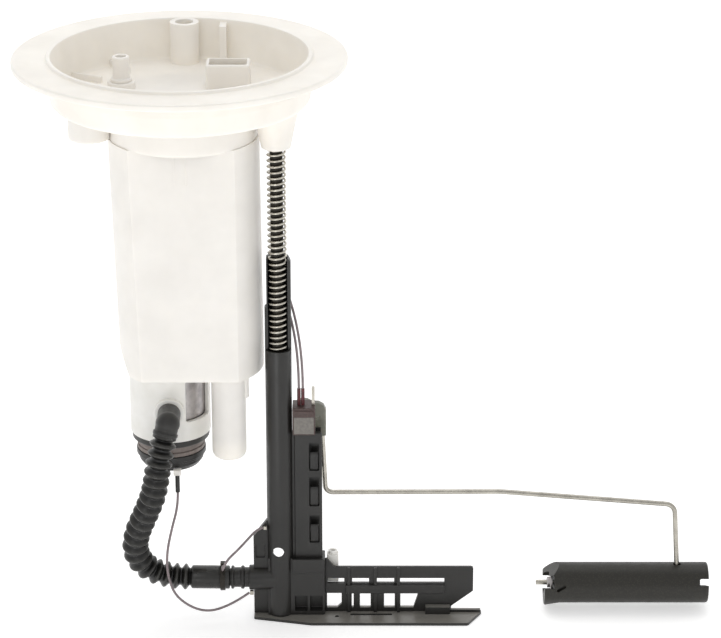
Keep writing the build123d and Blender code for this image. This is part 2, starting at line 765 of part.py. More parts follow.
def terminal_posts():
    posts = None
    for x in post_places:
        post = rod(0.9, -housing_top - 2.2, -housing_top + sleeve_l - 0.4, x, post_y)
        posts = post if posts is None else posts + post
    return posts


def terminal_sleeves():
    sleeves = None
    for x in post_places:
        sleeve = tube(1.7, 1.0, -housing_top, -housing_top + sleeve_l, x, post_y)
        sleeves = sleeve if sleeves is None else sleeves + sleeve
    return sleeves


def terminal_blade():
    return block(60.0, 61.4, -13.4, -10.6, -housing_top, -housing_top + blade_l)


def arm_holder():
    """Holds the float wire; its journal turns in the sensor housing."""
    outline = [(53.0, 4.1), (58.2, 4.1), (63.2, 4.1), (65.6, 2.7), (66.7, 0.5), (66.7, -13.0),
               (62.3, -13.0), (59.0, -6.2), (53.0, -4.8)]
    body = Pos(0, 0, -pivot_z) * slab(outline, -5.7, -1.7)
    body += forward(pivot_x, -1.7, -pivot_z) * extrude(Circle(5.6), 4.0)
    body += forward(pivot_x, -5.6, -pivot_z) * extrude(Circle(journal_d / 2), 4.6)
    return body - float_wire()


def wiper():
    """Spring contact on the journal's end, inside the housing."""
    body = forward(pivot_x, -10.2, -pivot_z) * extrude(Circle(2.4), 0.5)
    for side in (-1, 1):
        body += block(pivot_x + side * 1.2 - 0.4, pivot_x + side * 1.2 + 0.4, -10.7, -10.2,
                      -pivot_z - 4.0, -pivot_z)
        body += block(pivot_x + side * 1.2 - 0.4, pivot_x + side * 1.2 + 0.4, -11.9, -10.2,
                      -pivot_z - 4.1, -pivot_z - 3.6)
    return body


def wire_points():
    arm_z = -pivot_z - 43.6
    return [(64.2, arm_y, -pivot_z + 1.8), (66.3, arm_y, arm_z), (151.0, arm_y, arm_z + 0.3),
            (float_entry_x - 2.8, arm_y, arm_z - 6.7), (float_entry_x, arm_y, -float_z),
            (float_x0 - 3.8, arm_y, -float_z)]


def float_wire():
    points = wire_points()
    path = FilletPolyline(*points, radius=[3.6, 60, 5.0, 4.0])
    start = Plane(origin=points[0], z_dir=Vector(*points[1]) - Vector(*points[0]))
    return sweep(start * Circle(arm_wire_d / 2), path=path)


def along_float(x, turn=0.0):
    """A place on the float's axis whose drawing direction runs along it, turned about it."""
    return Pos(x, arm_y, -float_z) * Rot(turn, 0, 0)


def float_body():
    """Foam float: a bore for its wire, jaws round the nut at one end and a see-through slot at the other."""
    r, x0, x1, gap = float_d / 2, float_x0, float_x1, arm_wire_d / 2 + 0.1
    lengthways = Rot(0, 90, 0)
    body = along_float(x0) * lengthways * extrude(Circle(r), x1 - x0)
    jaw = along_float(x0) * lengthways * Pos(0, 0, flare_l / 2) * Cone(r + flare, r, flare_l)
    body += jaw & along_float(0, slot_turn) * block(x0 - 1, x0 + flare_l, -r - 2, r + 2, -r - 2, 0)
    body -= slab([(x0 - 1, -float_z + r + 1), (x0 + 5.3, -float_z + r + 1), (x0 + 5.3, -float_z + r),
                  (x0, -float_z + r - 7.4), (x0 - 1, -float_z + r - 7.4)], arm_y - r, arm_y + r)
    body -= along_float(x0 - 1) * lengthways * extrude(Circle(gap), float_entry_x - x0)
    body -= block(float_entry_x - 6.0, float_entry_x + 1.8, arm_y - gap, arm_y + gap, -float_z - gap, -float_z + 6.0)
    body -= block(float_entry_x - 2.2, float_entry_x + 1.4, arm_y - gap, arm_y + gap, -float_z, -float_z + r + 1)
    body -= along_float(x0 - 1) * lengthways * extrude(Circle(nut_d / 2 + 0.6), end_slot_l + 1)
    for low, high, w in ((x0 - 1, x0 + end_slot_l, end_slot_w), (x1 - far_slot_l, x1 + 1, far_slot_w)):
        body -= along_float(0, slot_turn) * block(low, high, -r - 3, r + 3, -w / 2, w / 2)
    slit = Pos(x0 + 8.2, arm_y - r, -float_z + 1.2) * Rot(0, -30, 0) * Box(5.0, 4.0, 1.7)
    return body - slit


def push_nut():
    lengthways = Rot(0, 90, 0)
    body = along_float(float_x0 + 3.2) * lengthways * extrude(Circle(nut_d / 2), 1.2)
    body += along_float(float_x0 + 1.6) * lengthways * extrude(Circle(2.6), 1.7)
    hole = Circle(arm_wire_d / 2 + 0.04)
    return body - along_float(float_x0 - 1) * lengthways * extrude(hole, 8)


def ground_clip():
    """White clip on the rim of the end cap."""
    top = crimp_top() + clip_h
    body = block(lead_x - 1.8, lead_x + 1.8, lead_y - 1.2, lead_y + 2.4, top - clip_h, top)
    return body - rod(end_cap_d, top - 5, top + 5, pump_x)


def crimp_top():
    return -holder_bottom - isolator_h - inlet_h - 8.0


def crimp_sleeve():
    return rod(2.2, crimp_top() - crimp_l, crimp_top(), lead_x, lead_y)


def ground_lead():
    z = crimp_top() - crimp_l
    points = [(lead_x, lead_y, z), (lead_x, lead_y, z - 7.2), (-8.0, -20.6, -229.0), (-10.4, -22.5, -241.0),
              (-10.0, -22.2, -253.0), (-6.0, -20.6, -265.5), (7.1, -17.6, -274.8), (21.0, -16.2, -270.6),
              (29.0, -15.6, -264.6)]
    return cord("ground_lead", points, lead_d)


def lead_tab():
    return block(29.4, 31.2, -16.4, -14.8, up(11.2), up(13.2))


def jumper_tab():
    return block(36.4, 37.8, -15.4, -13.6, up(45.8), up(47.4))


def hose_clip():
    """Spring band round the hose's end, with a lug on top."""
    at = Pos(15.0, rod_y, -boss_z) * Rot(0, 90, 0)
    band = at * extrude(Circle(hose_d / 2 + 1.0) - Circle(hose_d / 2 + 0.3), 2.4)
    lug = block(15.0, 17.4, rod_y - 1.6, rod_y + 1.6, -boss_z + hose_d / 2 + 0.5, -boss_z + hose_d / 2 + 2.6)
    return band + lug


def jumper_lead():
    points = [(36.0, -14.5, -230.0), (33.2, -15.6, -230.6), (29.4, -20.4, -232.8), (24.4, -25.0, -236.8),
              (19.0, -25.6, -242.0), (16.8, -23.2, -248.0), (16.2, -18.6, -251.2), (16.2, rod_y - 1.7, -251.2)]
    return cord("jumper_lead", points, lead_d)


def sensor_lead(k):
    x, low = post_places[k], -housing_top + sleeve_l
    high = 1.6 * k
    top = rod_x - 0.9 + 1.8 * k
    points = [(top, gland_y, -gland_low), (top, gland_y, -50.0), (top - 0.2, -2.4, -78.0),
              (top + 0.6, -3.6, -105.0 + high), (50.6 + 1.7 * k, -6.2, -124.0 + high),
              (x, post_y, low + 14.0), (x, post_y, low)]
    return cord("sensor_lead", points, lead_d)


WHITE, MILKY, BLACK = (0.93, 0.93, 0.91), (0.85, 0.86, 0.83), (0.04, 0.04, 0.04)
STEEL, BRASS, RUBBER = (0.66, 0.66, 0.64), (0.75, 0.6, 0.3), (0.02, 0.02, 0.02)
BROWN, GREY, GREEN, LEAD = (0.2, 0.12, 0.1), (0.5, 0.5, 0.48), (0.4, 0.45, 0.35), (0.5, 0.4, 0.4)


def build_flange_unit():
    keep("flange", flange(), WHITE)
    keep("connector_pins", connector_pins(), BRASS)
    keep("outlet_nipple", outlet_nipple(), GREY)
    keep("vent_housing", vent_housing(), WHITE)
    keep("vent_float", vent_float(), WHITE)
    keep("filter_canister", filter_canister(), WHITE)
    keep("filter_element", filter_element(), (0.85, 0.75, 0.55))
    keep("filter_upper_cap", filter_upper_cap(), GREY)
    keep("filter_lower_cap", filter_lower_cap(), GREY)
    keep("pump_holder", pump_holder(), MILKY)
    keep("fuel_pump", fuel_pump(), STEEL)
    keep("pump_top", pump_top(), BLACK)
    keep("check_valve", check_valve(), BRASS)
    keep("pump_isolator", pump_isolator(), RUBBER)
    keep("inlet_cover", inlet_cover(), GREY)
    keep("pump_end_cap", pump_end_cap(), BLACK)
    keep("inlet_elbow", inlet_elbow(), RUBBER)
    keep("suction_hose", suction_hose(), RUBBER)
    keep("regulator_housing", regulator_housing(), WHITE)
    keep("pressure_regulator", pressure_regulator(), STEEL)
    keep("regulator_seal", regulator_seal(), RUBBER)
    keep("guide_rod", guide_rod(), STEEL)
    keep("rod_stop_ring", rod_stop_ring(), STEEL)
    keep("guide_spring", guide_spring(), STEEL)
    keep("ground_clip", ground_clip(), WHITE)
    keep("crimp_sleeve", crimp_sleeve(), BLACK)
    keep("ground_lead", ground_lead(), LEAD)
    keep("sensor_lead_a", sensor_lead(0), LEAD)
    keep("sensor_lead_b", sensor_lead(1), LEAD)


def build_carrier():
    keep("guide_carrier", guide_carrier(), BLACK)
    keep("guide_bushing", guide_bushing(), WHITE)
    keep("foot_bracket", foot_bracket(), BLACK)
    keep("foot_strainer", foot_strainer(), WHITE)
    keep("jet_nozzle", jet_nozzle(), MILKY)
    keep("sensor_housing", sensor_housing(), BROWN)
    keep("sensor_card", sensor_card(), GREY)
    keep("terminal_posts", terminal_posts(), STEEL)
    keep("terminal_sleeves", terminal_sleeves(), (0.25, 0.05, 0.05))
    keep("terminal_blade", terminal_blade(), STEEL)
    keep("lead_tab", lead_tab(), STEEL)
    keep("jumper_tab", jumper_tab(), STEEL)
    keep("hose_clip", hose_clip(), STEEL)
    keep("jumper_lead", jumper_lead(), LEAD)


def build_float_arm():
    keep("arm_holder", arm_holder(), GREEN)
    keep("float_wire", float_wire(), STEEL)
    keep("wiper", wiper(), BRASS)
    keep("float", float_body(), BLACK)
    keep("push_nut", push_nut(), STEEL)


def main():
    os.makedirs("parts", exist_ok=True)
    build_flange_unit()
    build_carrier()
    build_float_arm()
    for name, shape in made.items():
        export_step(shape, f"parts/{name}.step")
    print(len(made), "parts written")


main()
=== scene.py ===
"""Fuel pump module, dressed: smooth shells, hose, leads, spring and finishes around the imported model.

Lengths in the making functions are millimetres in the object's own frame, +Z up out of the tank.
"""

import functools
import math

import bmesh
import bpy
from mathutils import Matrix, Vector


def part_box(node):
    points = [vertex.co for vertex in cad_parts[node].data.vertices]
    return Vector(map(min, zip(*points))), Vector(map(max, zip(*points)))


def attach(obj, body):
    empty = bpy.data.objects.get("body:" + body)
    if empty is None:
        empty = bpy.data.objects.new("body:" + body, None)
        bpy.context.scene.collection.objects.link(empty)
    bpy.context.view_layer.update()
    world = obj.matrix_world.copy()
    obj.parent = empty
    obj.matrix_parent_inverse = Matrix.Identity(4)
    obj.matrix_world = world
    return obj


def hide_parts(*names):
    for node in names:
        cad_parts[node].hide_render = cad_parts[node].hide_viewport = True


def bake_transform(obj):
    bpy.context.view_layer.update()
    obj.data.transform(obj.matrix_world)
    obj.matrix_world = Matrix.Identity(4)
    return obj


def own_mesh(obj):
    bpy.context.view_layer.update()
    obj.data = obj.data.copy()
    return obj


bl_info = {
    "name": "Fuel pump module",
    "version": (1, 0, 0),
    "blender": (4, 5, 0),
    "location": "View3D > Sidebar > Pump module",
    "description": "Builds the fuel pump module's visible pieces, one group at a time",
    "category": "Add Mesh",
}

MM = 0.001
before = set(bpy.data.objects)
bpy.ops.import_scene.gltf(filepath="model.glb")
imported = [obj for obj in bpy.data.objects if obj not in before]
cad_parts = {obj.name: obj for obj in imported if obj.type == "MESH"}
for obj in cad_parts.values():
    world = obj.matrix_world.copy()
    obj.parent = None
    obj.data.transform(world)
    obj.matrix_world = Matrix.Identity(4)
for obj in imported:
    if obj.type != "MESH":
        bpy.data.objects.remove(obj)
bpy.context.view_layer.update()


def corners(node):
    """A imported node's lowest and highest corner, in millimetres."""
    low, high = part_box(node)
    return low / MM, high / MM


# Places that several pieces share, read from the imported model.
FLANGE_LOW, FLANGE_HIGH = corners("flange")
CAN_LOW, CAN_HIGH = corners("filter_canister")
TUBE_LOW, TUBE_HIGH = corners("guide_carrier")
ROD_LOW, ROD_HIGH = corners("guide_rod")
PUMP_LOW, PUMP_HIGH = corners("fuel_pump")
FOOT_LOW, FOOT_HIGH = corners("foot_bracket")
ROD_X, ROD_Y = (ROD_LOW.x + ROD_HIGH.x) / 2, (ROD_LOW.y + ROD_HIGH.y) / 2
PUMP_X = (PUMP_LOW.x + PUMP_HIGH.x) / 2
FOOT_Z = TUBE_LOW.z
MOUTH_Z = FOOT_Z + 139.1
SEAT_Z = MOUTH_Z - 10.1
HOSE_Z = FOOT_Z + 18.7
ARM_Y = -3.5
FLOAT_Z = -264.9
PIVOT = Vector((56.1, ARM_Y, -172.6))
ELBOW = Vector((-7.5, -32.6, -167.4))
FALL = Vector((-2.9, -3.2, -11.6)).normalized()
FALL_L = 5.7


# ---------------------------------------------------------------- making shapes

def chain(name, points, closed):
    """Edges drawn point by point, extruded from a single point. Leaves edit mode on."""
    bpy.ops.object.select_all(action="DESELECT")
    bpy.ops.mesh.primitive_plane_add(size=MM)
    piece = bpy.context.object
    piece.name = name
    bpy.ops.object.mode_set(mode="EDIT")
    bpy.ops.mesh.merge(type="CENTER")
    at = Vector((0, 0, 0))
    for k, point in enumerate(points):
        step = (Vector(point) - at) * MM
        if k:
            bpy.ops.mesh.extrude_vertices_move(TRANSFORM_OT_translate={"value": step})
        else:
            bpy.ops.transform.translate(value=step)
        at = Vector(point)
    if closed:
        edit = bmesh.from_edit_mesh(piece.data)
        for vertex in edit.verts:
            vertex.select = len(vertex.link_edges) == 1
        bmesh.update_edit_mesh(piece.data)
        bpy.ops.mesh.edge_face_add()
    bpy.ops.mesh.select_all(action="SELECT")
    return piece


def tidy():
    """Doubles merged and faces turned outwards; leaves edit mode."""
    bpy.ops.mesh.select_all(action="SELECT")
    bpy.ops.mesh.remove_doubles(threshold=0.002 * MM)
    bpy.ops.mesh.normals_make_consistent(inside=False)
    bpy.ops.object.mode_set(mode="OBJECT")


def healed(piece):
    """Closes the slits a boolean leaves: loose edges dropped, near doubles merged, open rings filled."""
    bpy.ops.object.select_all(action="DESELECT")
    piece.select_set(True)
    bpy.context.view_layer.objects.active = piece
    bpy.ops.object.mode_set(mode="EDIT")
    bpy.ops.mesh.select_mode(type="EDGE")
    bpy.ops.mesh.select_all(action="SELECT")
    bpy.ops.mesh.remove_doubles(threshold=0.02 * MM)
    bpy.ops.mesh.dissolve_degenerate(threshold=0.02 * MM)
    bpy.ops.mesh.select_all(action="DESELECT")
    bpy.ops.mesh.select_non_manifold(extend=False, use_wire=False, use_multi_face=False,
                                     use_non_contiguous=False, use_verts=False)
    bpy.ops.mesh.fill_holes(sides=0)
    bpy.ops.mesh.select_all(action="SELECT")
    bpy.ops.mesh.delete_loose(use_faces=False)
    bpy.ops.mesh.select_mode(type="VERT")
    tidy()
    return piece


def lathe(name, outline, centre=(0, 0, 0), axis="Z", steps=96):
    """Turned about an axis through centre: outline gives radius and place along the axis."""
    along = Vector((axis == "X", axis == "Y", axis == "Z"))
    side = Vector((axis != "X", axis == "X", 0))
    centre = Vector(centre)
    on_axis = outline[0][0] == 0 and outline[-1][0] == 0
    piece = chain(name, [centre + side * r + along * h for r, h in outline], closed=not on_axis)
    bpy.ops.mesh.spin(steps=steps, angle=math.tau, center=centre * MM, axis=along)
    tidy()
    return piece


def plate(name, outline, plane, start, end):
    """A flat outline drawn in XY, XZ or YZ at start and pulled out to end."""
    order = {"XY": (0, 1, 2), "XZ": (0, 2, 1), "YZ": (1, 2, 0)}[plane]

    def place(a, b, c):
        point = [0, 0, 0]
        for index, value in zip(order, (a, b, c)):
            point[index] = value
        return Vector(point)

    piece = chain(name, [place(a, b, start) for a, b in outline], closed=True)
    bpy.ops.mesh.edge_face_add()
    bpy.ops.mesh.extrude_region_move(
        TRANSFORM_OT_translate={"value": place(0, 0, end - start) * MM})
    tidy()
    return piece


def brick(name, x0, x1, y0, y1, z0, z1):
    bpy.ops.object.select_all(action="DESELECT")
    bpy.ops.mesh.primitive_cube_add(
        size=1, location=((x0 + x1) / 2 * MM, (y0 + y1) / 2 * MM, (z0 + z1) / 2 * MM),
        scale=((x1 - x0) * MM, (y1 - y0) * MM, (z1 - z0) * MM))
    bpy.ops.object.transform_apply(location=True, rotation=True, scale=True)
    piece = bpy.context.object
    piece.name = name
    return piece


def bar(name, radius, start, end, steps=48):
    """A round bar from start to end."""
    start, end = Vector(start), Vector(end)
    bpy.ops.object.select_all(action="DESELECT")
    bpy.ops.mesh.primitive_cylinder_add(
        vertices=steps, radius=radius * MM, depth=(end - start).length * MM,
        location=(start + end) / 2 * MM, rotation=(end - start).to_track_quat("Z", "Y").to_euler())
    bpy.ops.object.transform_apply(location=True, rotation=True, scale=True)
    piece = bpy.context.object
    piece.name = name
    return piece


def ball(name, radius, centre, steps=48):
    bpy.ops.object.select_all(action="DESELECT")
    bpy.ops.mesh.primitive_uv_sphere_add(
        segments=steps, ring_count=steps // 2, radius=radius * MM, location=Vector(centre) * MM)
    bpy.ops.object.transform_apply(location=True, rotation=True, scale=True)
    piece = bpy.context.object
    piece.name = name
    return piece


def apply_modifier(piece, kind, **settings):
    modifier = piece.modifiers.new(kind, kind)
    for key, value in settings.items():
        setattr(modifier, key, value)
    bpy.context.view_layer.objects.active = piece
    bpy.ops.object.modifier_apply(modifier=modifier.name)
    return piece


def boolean(piece, operation, tools):
    for tool in tools:
        apply_modifier(piece, "BOOLEAN", operation=operation, object=tool, solver="EXACT")
        bpy.data.objects.remove(tool)
    return piece


def joined(piece, *tools):
    return boolean(piece, "UNION", tools)


def cut(piece, *tools):
    return boolean(piece, "DIFFERENCE", tools)


def common(piece, tool):
    return boolean(piece, "INTERSECT", [tool])


def round_edges(piece, width, segments=2, angle=32):
    return apply_modifier(piece, "BEVEL", width=width * MM, segments=segments,
                          limit_method="ANGLE", angle_limit=math.radians(angle))


def shaved(piece, point, outward):
    """What lies behind a plane through point, its cut closed."""
    bpy.ops.object.select_all(action="DESELECT")
    piece.select_set(True)
    bpy.context.view_layer.objects.active = piece
    bpy.ops.object.mode_set(mode="EDIT")
    bpy.ops.mesh.select_all(action="SELECT")
    bpy.ops.mesh.bisect(plane_co=Vector(point) * MM, plane_no=outward, use_fill=True, clear_outer=True)
    tidy()
    return piece


def turned_round(piece, degrees, centre):
    """Turned about the Z direction through centre."""
    return tipped(piece, math.radians(degrees), centre, axis="Z")


def tipped(piece, angle, centre, axis="X"):
    """Turned by angle about the direction of an axis through centre."""
    bpy.ops.object.select_all(action="DESELECT")
    piece.select_set(True)
    bpy.context.view_layer.objects.active = piece
    setattr(piece.rotation_euler, axis.lower(), angle)
    offset = Vector(centre) * MM
    turned = offset.copy()
    turned.rotate(piece.rotation_euler)
    piece.location = offset - turned
    bpy.ops.object.transform_apply(location=True, rotation=True, scale=True)
    return piece


def finish(piece, material, slot, body, *nodes, smooth=36):
    """Shading, finish and place in the model for a made piece."""
    bpy.ops.object.select_all(action="DESELECT")
    piece.select_set(True)
    bpy.context.view_layer.objects.active = piece
    bpy.ops.object.mode_set(mode="EDIT")
    tidy()
    bpy.ops.object.shade_smooth_by_angle(angle=math.radians(smooth))
    apply_modifier(piece, "WEIGHTED_NORMAL", keep_sharp=True)
    piece.data.materials.clear()
    piece.data.materials.append(material)
    piece.name = nodes[0] + "_body"
    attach(piece, body)
    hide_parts(*nodes)
    return piece


def dress(node, material):
    """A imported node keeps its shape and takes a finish."""
    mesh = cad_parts[node].data
    mesh.materials.clear()
    mesh.materials.append(material)


# ---------------------------------------------------------------- cords

def route_curve(name, points):
    """The cord's own line: one smooth open spline steered by its route's points."""
    data = bpy.data.curves.new(name, "CURVE")
    data.dimensions = "3D"
    data.resolution_u = 16
    spline = data.splines.new("NURBS")
    spline.points.add(len(points) - 1)
    for spot, point in zip(spline.points, points):
        spot.co = (*(Vector(point) * MM), 1.0)
    spline.order_u = 3
    spline.use_endpoint_u = True
    curve = bpy.data.objects.new(name, data)
    bpy.context.scene.collection.objects.link(curve)
    return curve


def mesh_of(curve):
    bpy.context.view_layer.update()
    return bpy.data.meshes.new_from_object(curve.evaluated_get(bpy.context.evaluated_depsgraph_get()))


def line_points(curve):
    mesh = mesh_of(curve)
    points = [vertex.co.copy() for vertex in mesh.vertices]
    bpy.data.meshes.remove(mesh)
    return points


def lead(name, points, diameter, material, slot, node, blend=None, body=None, **facts):
    """A thin round lead along its route."""
    curve = route_curve(name + "_line", points)
    line = line_points(curve)
    curve.data.bevel_depth = diameter / 2 * MM
    curve.data.bevel_resolution = 4
    curve.data.use_fill_caps = True
    piece = bpy.data.objects.new(name, mesh_of(curve))
    bpy.context.scene.collection.objects.link(piece)
    bpy.data.objects.remove(curve)
    healed(piece)
    bpy.ops.object.shade_smooth_by_angle(angle=math.radians(36))
    piece.data.materials.clear()
    piece.data.materials.append(material)
    place_cord(piece, node, blend, body)
    return piece


def place_cord(piece, node, blend, body):
    if blend:
        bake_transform(piece)
    else:
        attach(piece, body)
    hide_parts(node)


# ---------------------------------------------------------------- finishes

def linear(hex_colour):
    """Linear RGBA from an sRGB hex value."""
    parts = [int(hex_colour[k:k + 2], 16) / 255 for k in (1, 3, 5)]
    return (*(c / 12.92 if c <= 0.04045 else ((c + 0.055) / 1.055) ** 2.4 for c in parts), 1.0)


def add(tree, kind, sockets=None, **settings):
    """Adds a node with its settings, and sets or links its inputs."""
    made = tree.nodes.new(kind)
    for key, value in settings.items():
        setattr(made, key, value)
    for key, value in (sockets or {}).items():
        if isinstance(value, bpy.types.NodeSocket):
            tree.links.new(value, made.inputs[key])
        else:
            made.inputs[key].default_value = value
    return made


def surface(name, **sockets):
    """A material with one Principled shader; gives back it, its tree, the shader and object coordinates."""
    material = bpy.data.materials.new(name)
    material.use_nodes = True
    tree = material.node_tree
    shader = tree.nodes["Principled BSDF"]
    for key, value in sockets.items():
        shader.inputs[key.replace("_", " ")].default_value = value
    return material, tree, shader, add(tree, "ShaderNodeTexCoord").outputs["Object"]


def clouds(tree, coords, size, detail=3.0, roughness=0.55):
    """Noise whose patches are about size millimetres across."""
    return add(tree, "ShaderNodeTexNoise", {
        "Vector": coords, "Scale": 1 / (size * MM), "Detail": detail, "Roughness": roughness}).outputs["Fac"]


def tint(tree, shader, factor, dark, light, low=0.35, high=0.65):
    """Base colour between two colours, hex or linear, following factor."""
    dark, light = (linear(c) if isinstance(c, str) else c for c in (dark, light))
    ramp = add(tree, "ShaderNodeValToRGB", {"Fac": factor})
    for element, place, colour in zip(ramp.color_ramp.elements, (low, high), (dark, light)):
        element.position, element.color = place, colour
    tree.links.new(ramp.outputs["Color"], shader.inputs["Base Color"])


def gloss_range(tree, shader, factor, low, high):
    spread = add(tree, "ShaderNodeMapRange", {
        "Value": factor, "From Min": 0.3, "From Max": 0.7, "To Min": low, "To Max": high})
    tree.links.new(spread.outputs["Result"], shader.inputs["Roughness"])


def relief(tree, shader, factor, depth, strength=1.0):
    """Bump whose full range is depth millimetres."""
    bump = add(tree, "ShaderNodeBump", {"Height": factor, "Distance": depth * MM, "Strength": strength})
    tree.links.new(bump.outputs["Normal"], shader.inputs["Normal"])


def kit():
    return bpy.context.scene.pump_module


def shade_of(colour, share):
    """A settings colour, darkened to share of its light."""
    return (*(share * value for value in colour), 1.0)


@functools.cache
def white_acetal():
    """Acetal, injection moulded: waxy white that lets light in a little, clouded by the melt's flow."""
    material, tree, shader, coords = surface(
        "white_acetal_moulded", IOR=1.48, Subsurface_Weight=0.35, Subsurface_Scale=0.006)
    shader.inputs["Subsurface Radius"].default_value = (1.0, 0.95, 0.85)
    tint(tree, shader, clouds(tree, coords, 26.0), shade_of(kit().white_colour, 0.93), shade_of(kit().white_colour, 1.0))
    gloss_range(tree, shader, clouds(tree, coords, 9.0), 0.34, 0.48)
    relief(tree, shader, clouds(tree, coords, 1.6), 0.03)
    return material


@functools.cache
def milky_nylon():
    """Natural polyamide, moulded thin: milky, so that what lies behind shows as a soft shadow."""
    material, tree, shader, coords = surface(
        "milky_nylon_moulded", IOR=1.52, Subsurface_Weight=0.25, Subsurface_Scale=0.004,
        Transmission_Weight=0.1)
    shader.inputs["Subsurface Radius"].default_value = (1.0, 0.95, 0.88)
    tint(tree, shader, clouds(tree, coords, 14.0), "#EFEDE6", "#F8F6F1")
    gloss_range(tree, shader, clouds(tree, coords, 6.0), 0.28, 0.40)
    relief(tree, shader, clouds(tree, coords, 1.4), 0.03)
    return material


@functools.cache
def black_acetal():
    """Black acetal, moulded on a spark-eroded tool: charcoal with a fine even grain and a satin edge."""
    material, tree, shader, coords = surface("black_acetal_moulded", IOR=1.48)
    tint(tree, shader, clouds(tree, coords, 20.0), shade_of(kit().black_colour, 0.7), shade_of(kit().black_colour, 1.0))
    gloss_range(tree, shader, clouds(tree, coords, 5.0), 0.32, 0.42)
    relief(tree, shader, clouds(tree, coords, 0.5, detail=2.0), 0.012)
    return material


@functools.cache
def painted_top_light_acetal():
    """Black acetal of the foot: charcoal, with painted top light that greys its upward faces low on the foot, the
    plate's top among them.
    """
    material, tree, shader, coords = surface("black_acetal_painted_top_light", IOR=1.48)
    normal = add(tree, "ShaderNodeTexCoord").outputs["Normal"]
    upward = add(tree, "ShaderNodeSeparateXYZ", {"Vector": normal}).outputs["Z"]
    height = add(tree, "ShaderNodeSeparateXYZ", {"Vector": coords}).outputs["Z"]
    low = add(tree, "ShaderNodeMath", {0: height, 1: (FOOT_Z + 5.0) * MM}, operation="LESS_THAN").outputs[0]
    # Painted light: upward faces low on the foot are painted up to twelve times lighter, as if lit from above.
    painted_top_light = add(tree, "ShaderNodeMath", {0: upward, 1: low}, operation="MULTIPLY").outputs[0]
    tint(tree, shader, painted_top_light, shade_of(kit().black_colour, 0.9), shade_of(kit().black_colour, 12.0), low=0.5, high=1.0)
    gloss_range(tree, shader, clouds(tree, coords, 5.0), 0.32, 0.42)
    relief(tree, shader, clouds(tree, coords, 0.5, detail=2.0), 0.012)
    return material


@functools.cache
def nitrile_rubber():
    """Nitrile rubber, moulded: black with a soft sheen and a faint bloom on it."""
    material, tree, shader, coords = surface(
        "nitrile_rubber_moulded", IOR=1.5, Sheen_Weight=0.12, Sheen_Roughness=0.5)
    tint(tree, shader, clouds(tree, coords, 7.0), shade_of(kit().rubber_colour, 0.6), shade_of(kit().rubber_colour, 1.0))
    gloss_range(tree, shader, clouds(tree, coords, 3.0), 0.38, 0.55)
    relief(tree, shader, clouds(tree, coords, 0.7), 0.03)
    return material


@functools.cache
def hose_rubber():
    """Nitrile rubber, corrugated: black and dull, with a painted olive highlight on the crests and painted shade in the
    grooves between them.
    """
    material, tree, shader, coords = surface("nitrile_rubber_corrugated", IOR=1.5)
    crest = add(tree, "ShaderNodeAttribute", attribute_name="crest").outputs["Fac"]
    # Painted light: the colour follows the crest mark, darkest in the grooves and lighter than the rubber on the
    # crests.
    tint(tree, shader, crest, shade_of(kit().rubber_colour, 0.1), shade_of(kit().rubber_colour, 1.3),
         low=0.3, high=1.0)
    gloss_range(tree, shader, clouds(tree, coords, 3.0), 0.26, 0.36)
    relief(tree, shader, clouds(tree, coords, 0.9), 0.05)
    return material


@functools.cache
def spring_wire():
    """Spring steel wire, cold drawn: bright, with faint drawing marks."""
    material, tree, shader, coords = surface("spring_steel_drawn", Metallic=1.0)
    tint(tree, shader, clouds(tree, coords, 2.5), "#B9B4A9", "#CFCBC1")
    gloss_range(tree, shader, clouds(tree, coords, 2.5), 0.22, 0.30)
    return material


@functools.cache
def stainless_rod():
    """Stainless steel, centreless ground: even grey with a soft mirror."""
    material, tree, shader, coords = surface("stainless_steel_ground", Metallic=1.0)
    tint(tree, shader, clouds(tree, coords, 6.0), "#A6A299", "#BAB6AC")
    gloss_range(tree, shader, clouds(tree, coords, 1.5), 0.22, 0.34)
    return material


@functools.cache
def phosphated_steel():
    """Steel, phosphated and oiled: near black, with a dull metal sheen."""
    material, tree, shader, coords = surface("steel_phosphated", Metallic=0.6)
    tint(tree, shader, clouds(tree, coords, 3.0), "#24211D", "#35312B")
    gloss_range(tree, shader, clouds(tree, coords, 1.5), 0.32, 0.46)
    return material


@functools.cache
def zinc_plate():
    """Mild steel, zinc plated: pale grey with cloudy patches and a dull shine."""
    material, tree, shader, coords = surface("steel_zinc_plated", Metallic=1.0)
    tint(tree, shader, clouds(tree, coords, 5.0), "#A9A5A6", "#C6C2C1")
    gloss_range(tree, shader, clouds(tree, coords, 2.0), 0.42, 0.55)
    return material


@functools.cache
def brass():
    """Brass strip, stamped and tinned thin: yellow with rubbed grey."""
    material, tree, shader, coords = surface("brass_stamped", Metallic=1.0)
    tint(tree, shader, clouds(tree, coords, 1.5), "#A98F52", "#CDB87A")
    gloss_range(tree, shader, clouds(tree, coords, 0.8), 0.22, 0.36)
    return material


@functools.cache
def filter_paper():
    """Phenolic filter paper, pleated: straw yellow and fibrous."""
    material, tree, shader, coords = surface("filter_paper_pleated", Roughness=0.9)
    fibres = clouds(tree, coords, 0.8, detail=5.0)
    tint(tree, shader, fibres, "#CDB98A", "#DECDA2")
    relief(tree, shader, fibres, 0.08)
    return material


@functools.cache
def brown_phenolic():
    """Phenolic moulding compound: dark red-brown with a mineral speckle."""
    material, tree, shader, coords = surface("phenolic_moulded", IOR=1.55)
    tint(tree, shader, clouds(tree, coords, 0.8, detail=5.0), "#3A2A27", "#4E3A36")
    gloss_range(tree, shader, clouds(tree, coords, 3.0), 0.42, 0.58)
    relief(tree, shader, clouds(tree, coords, 0.5), 0.03)
    return material


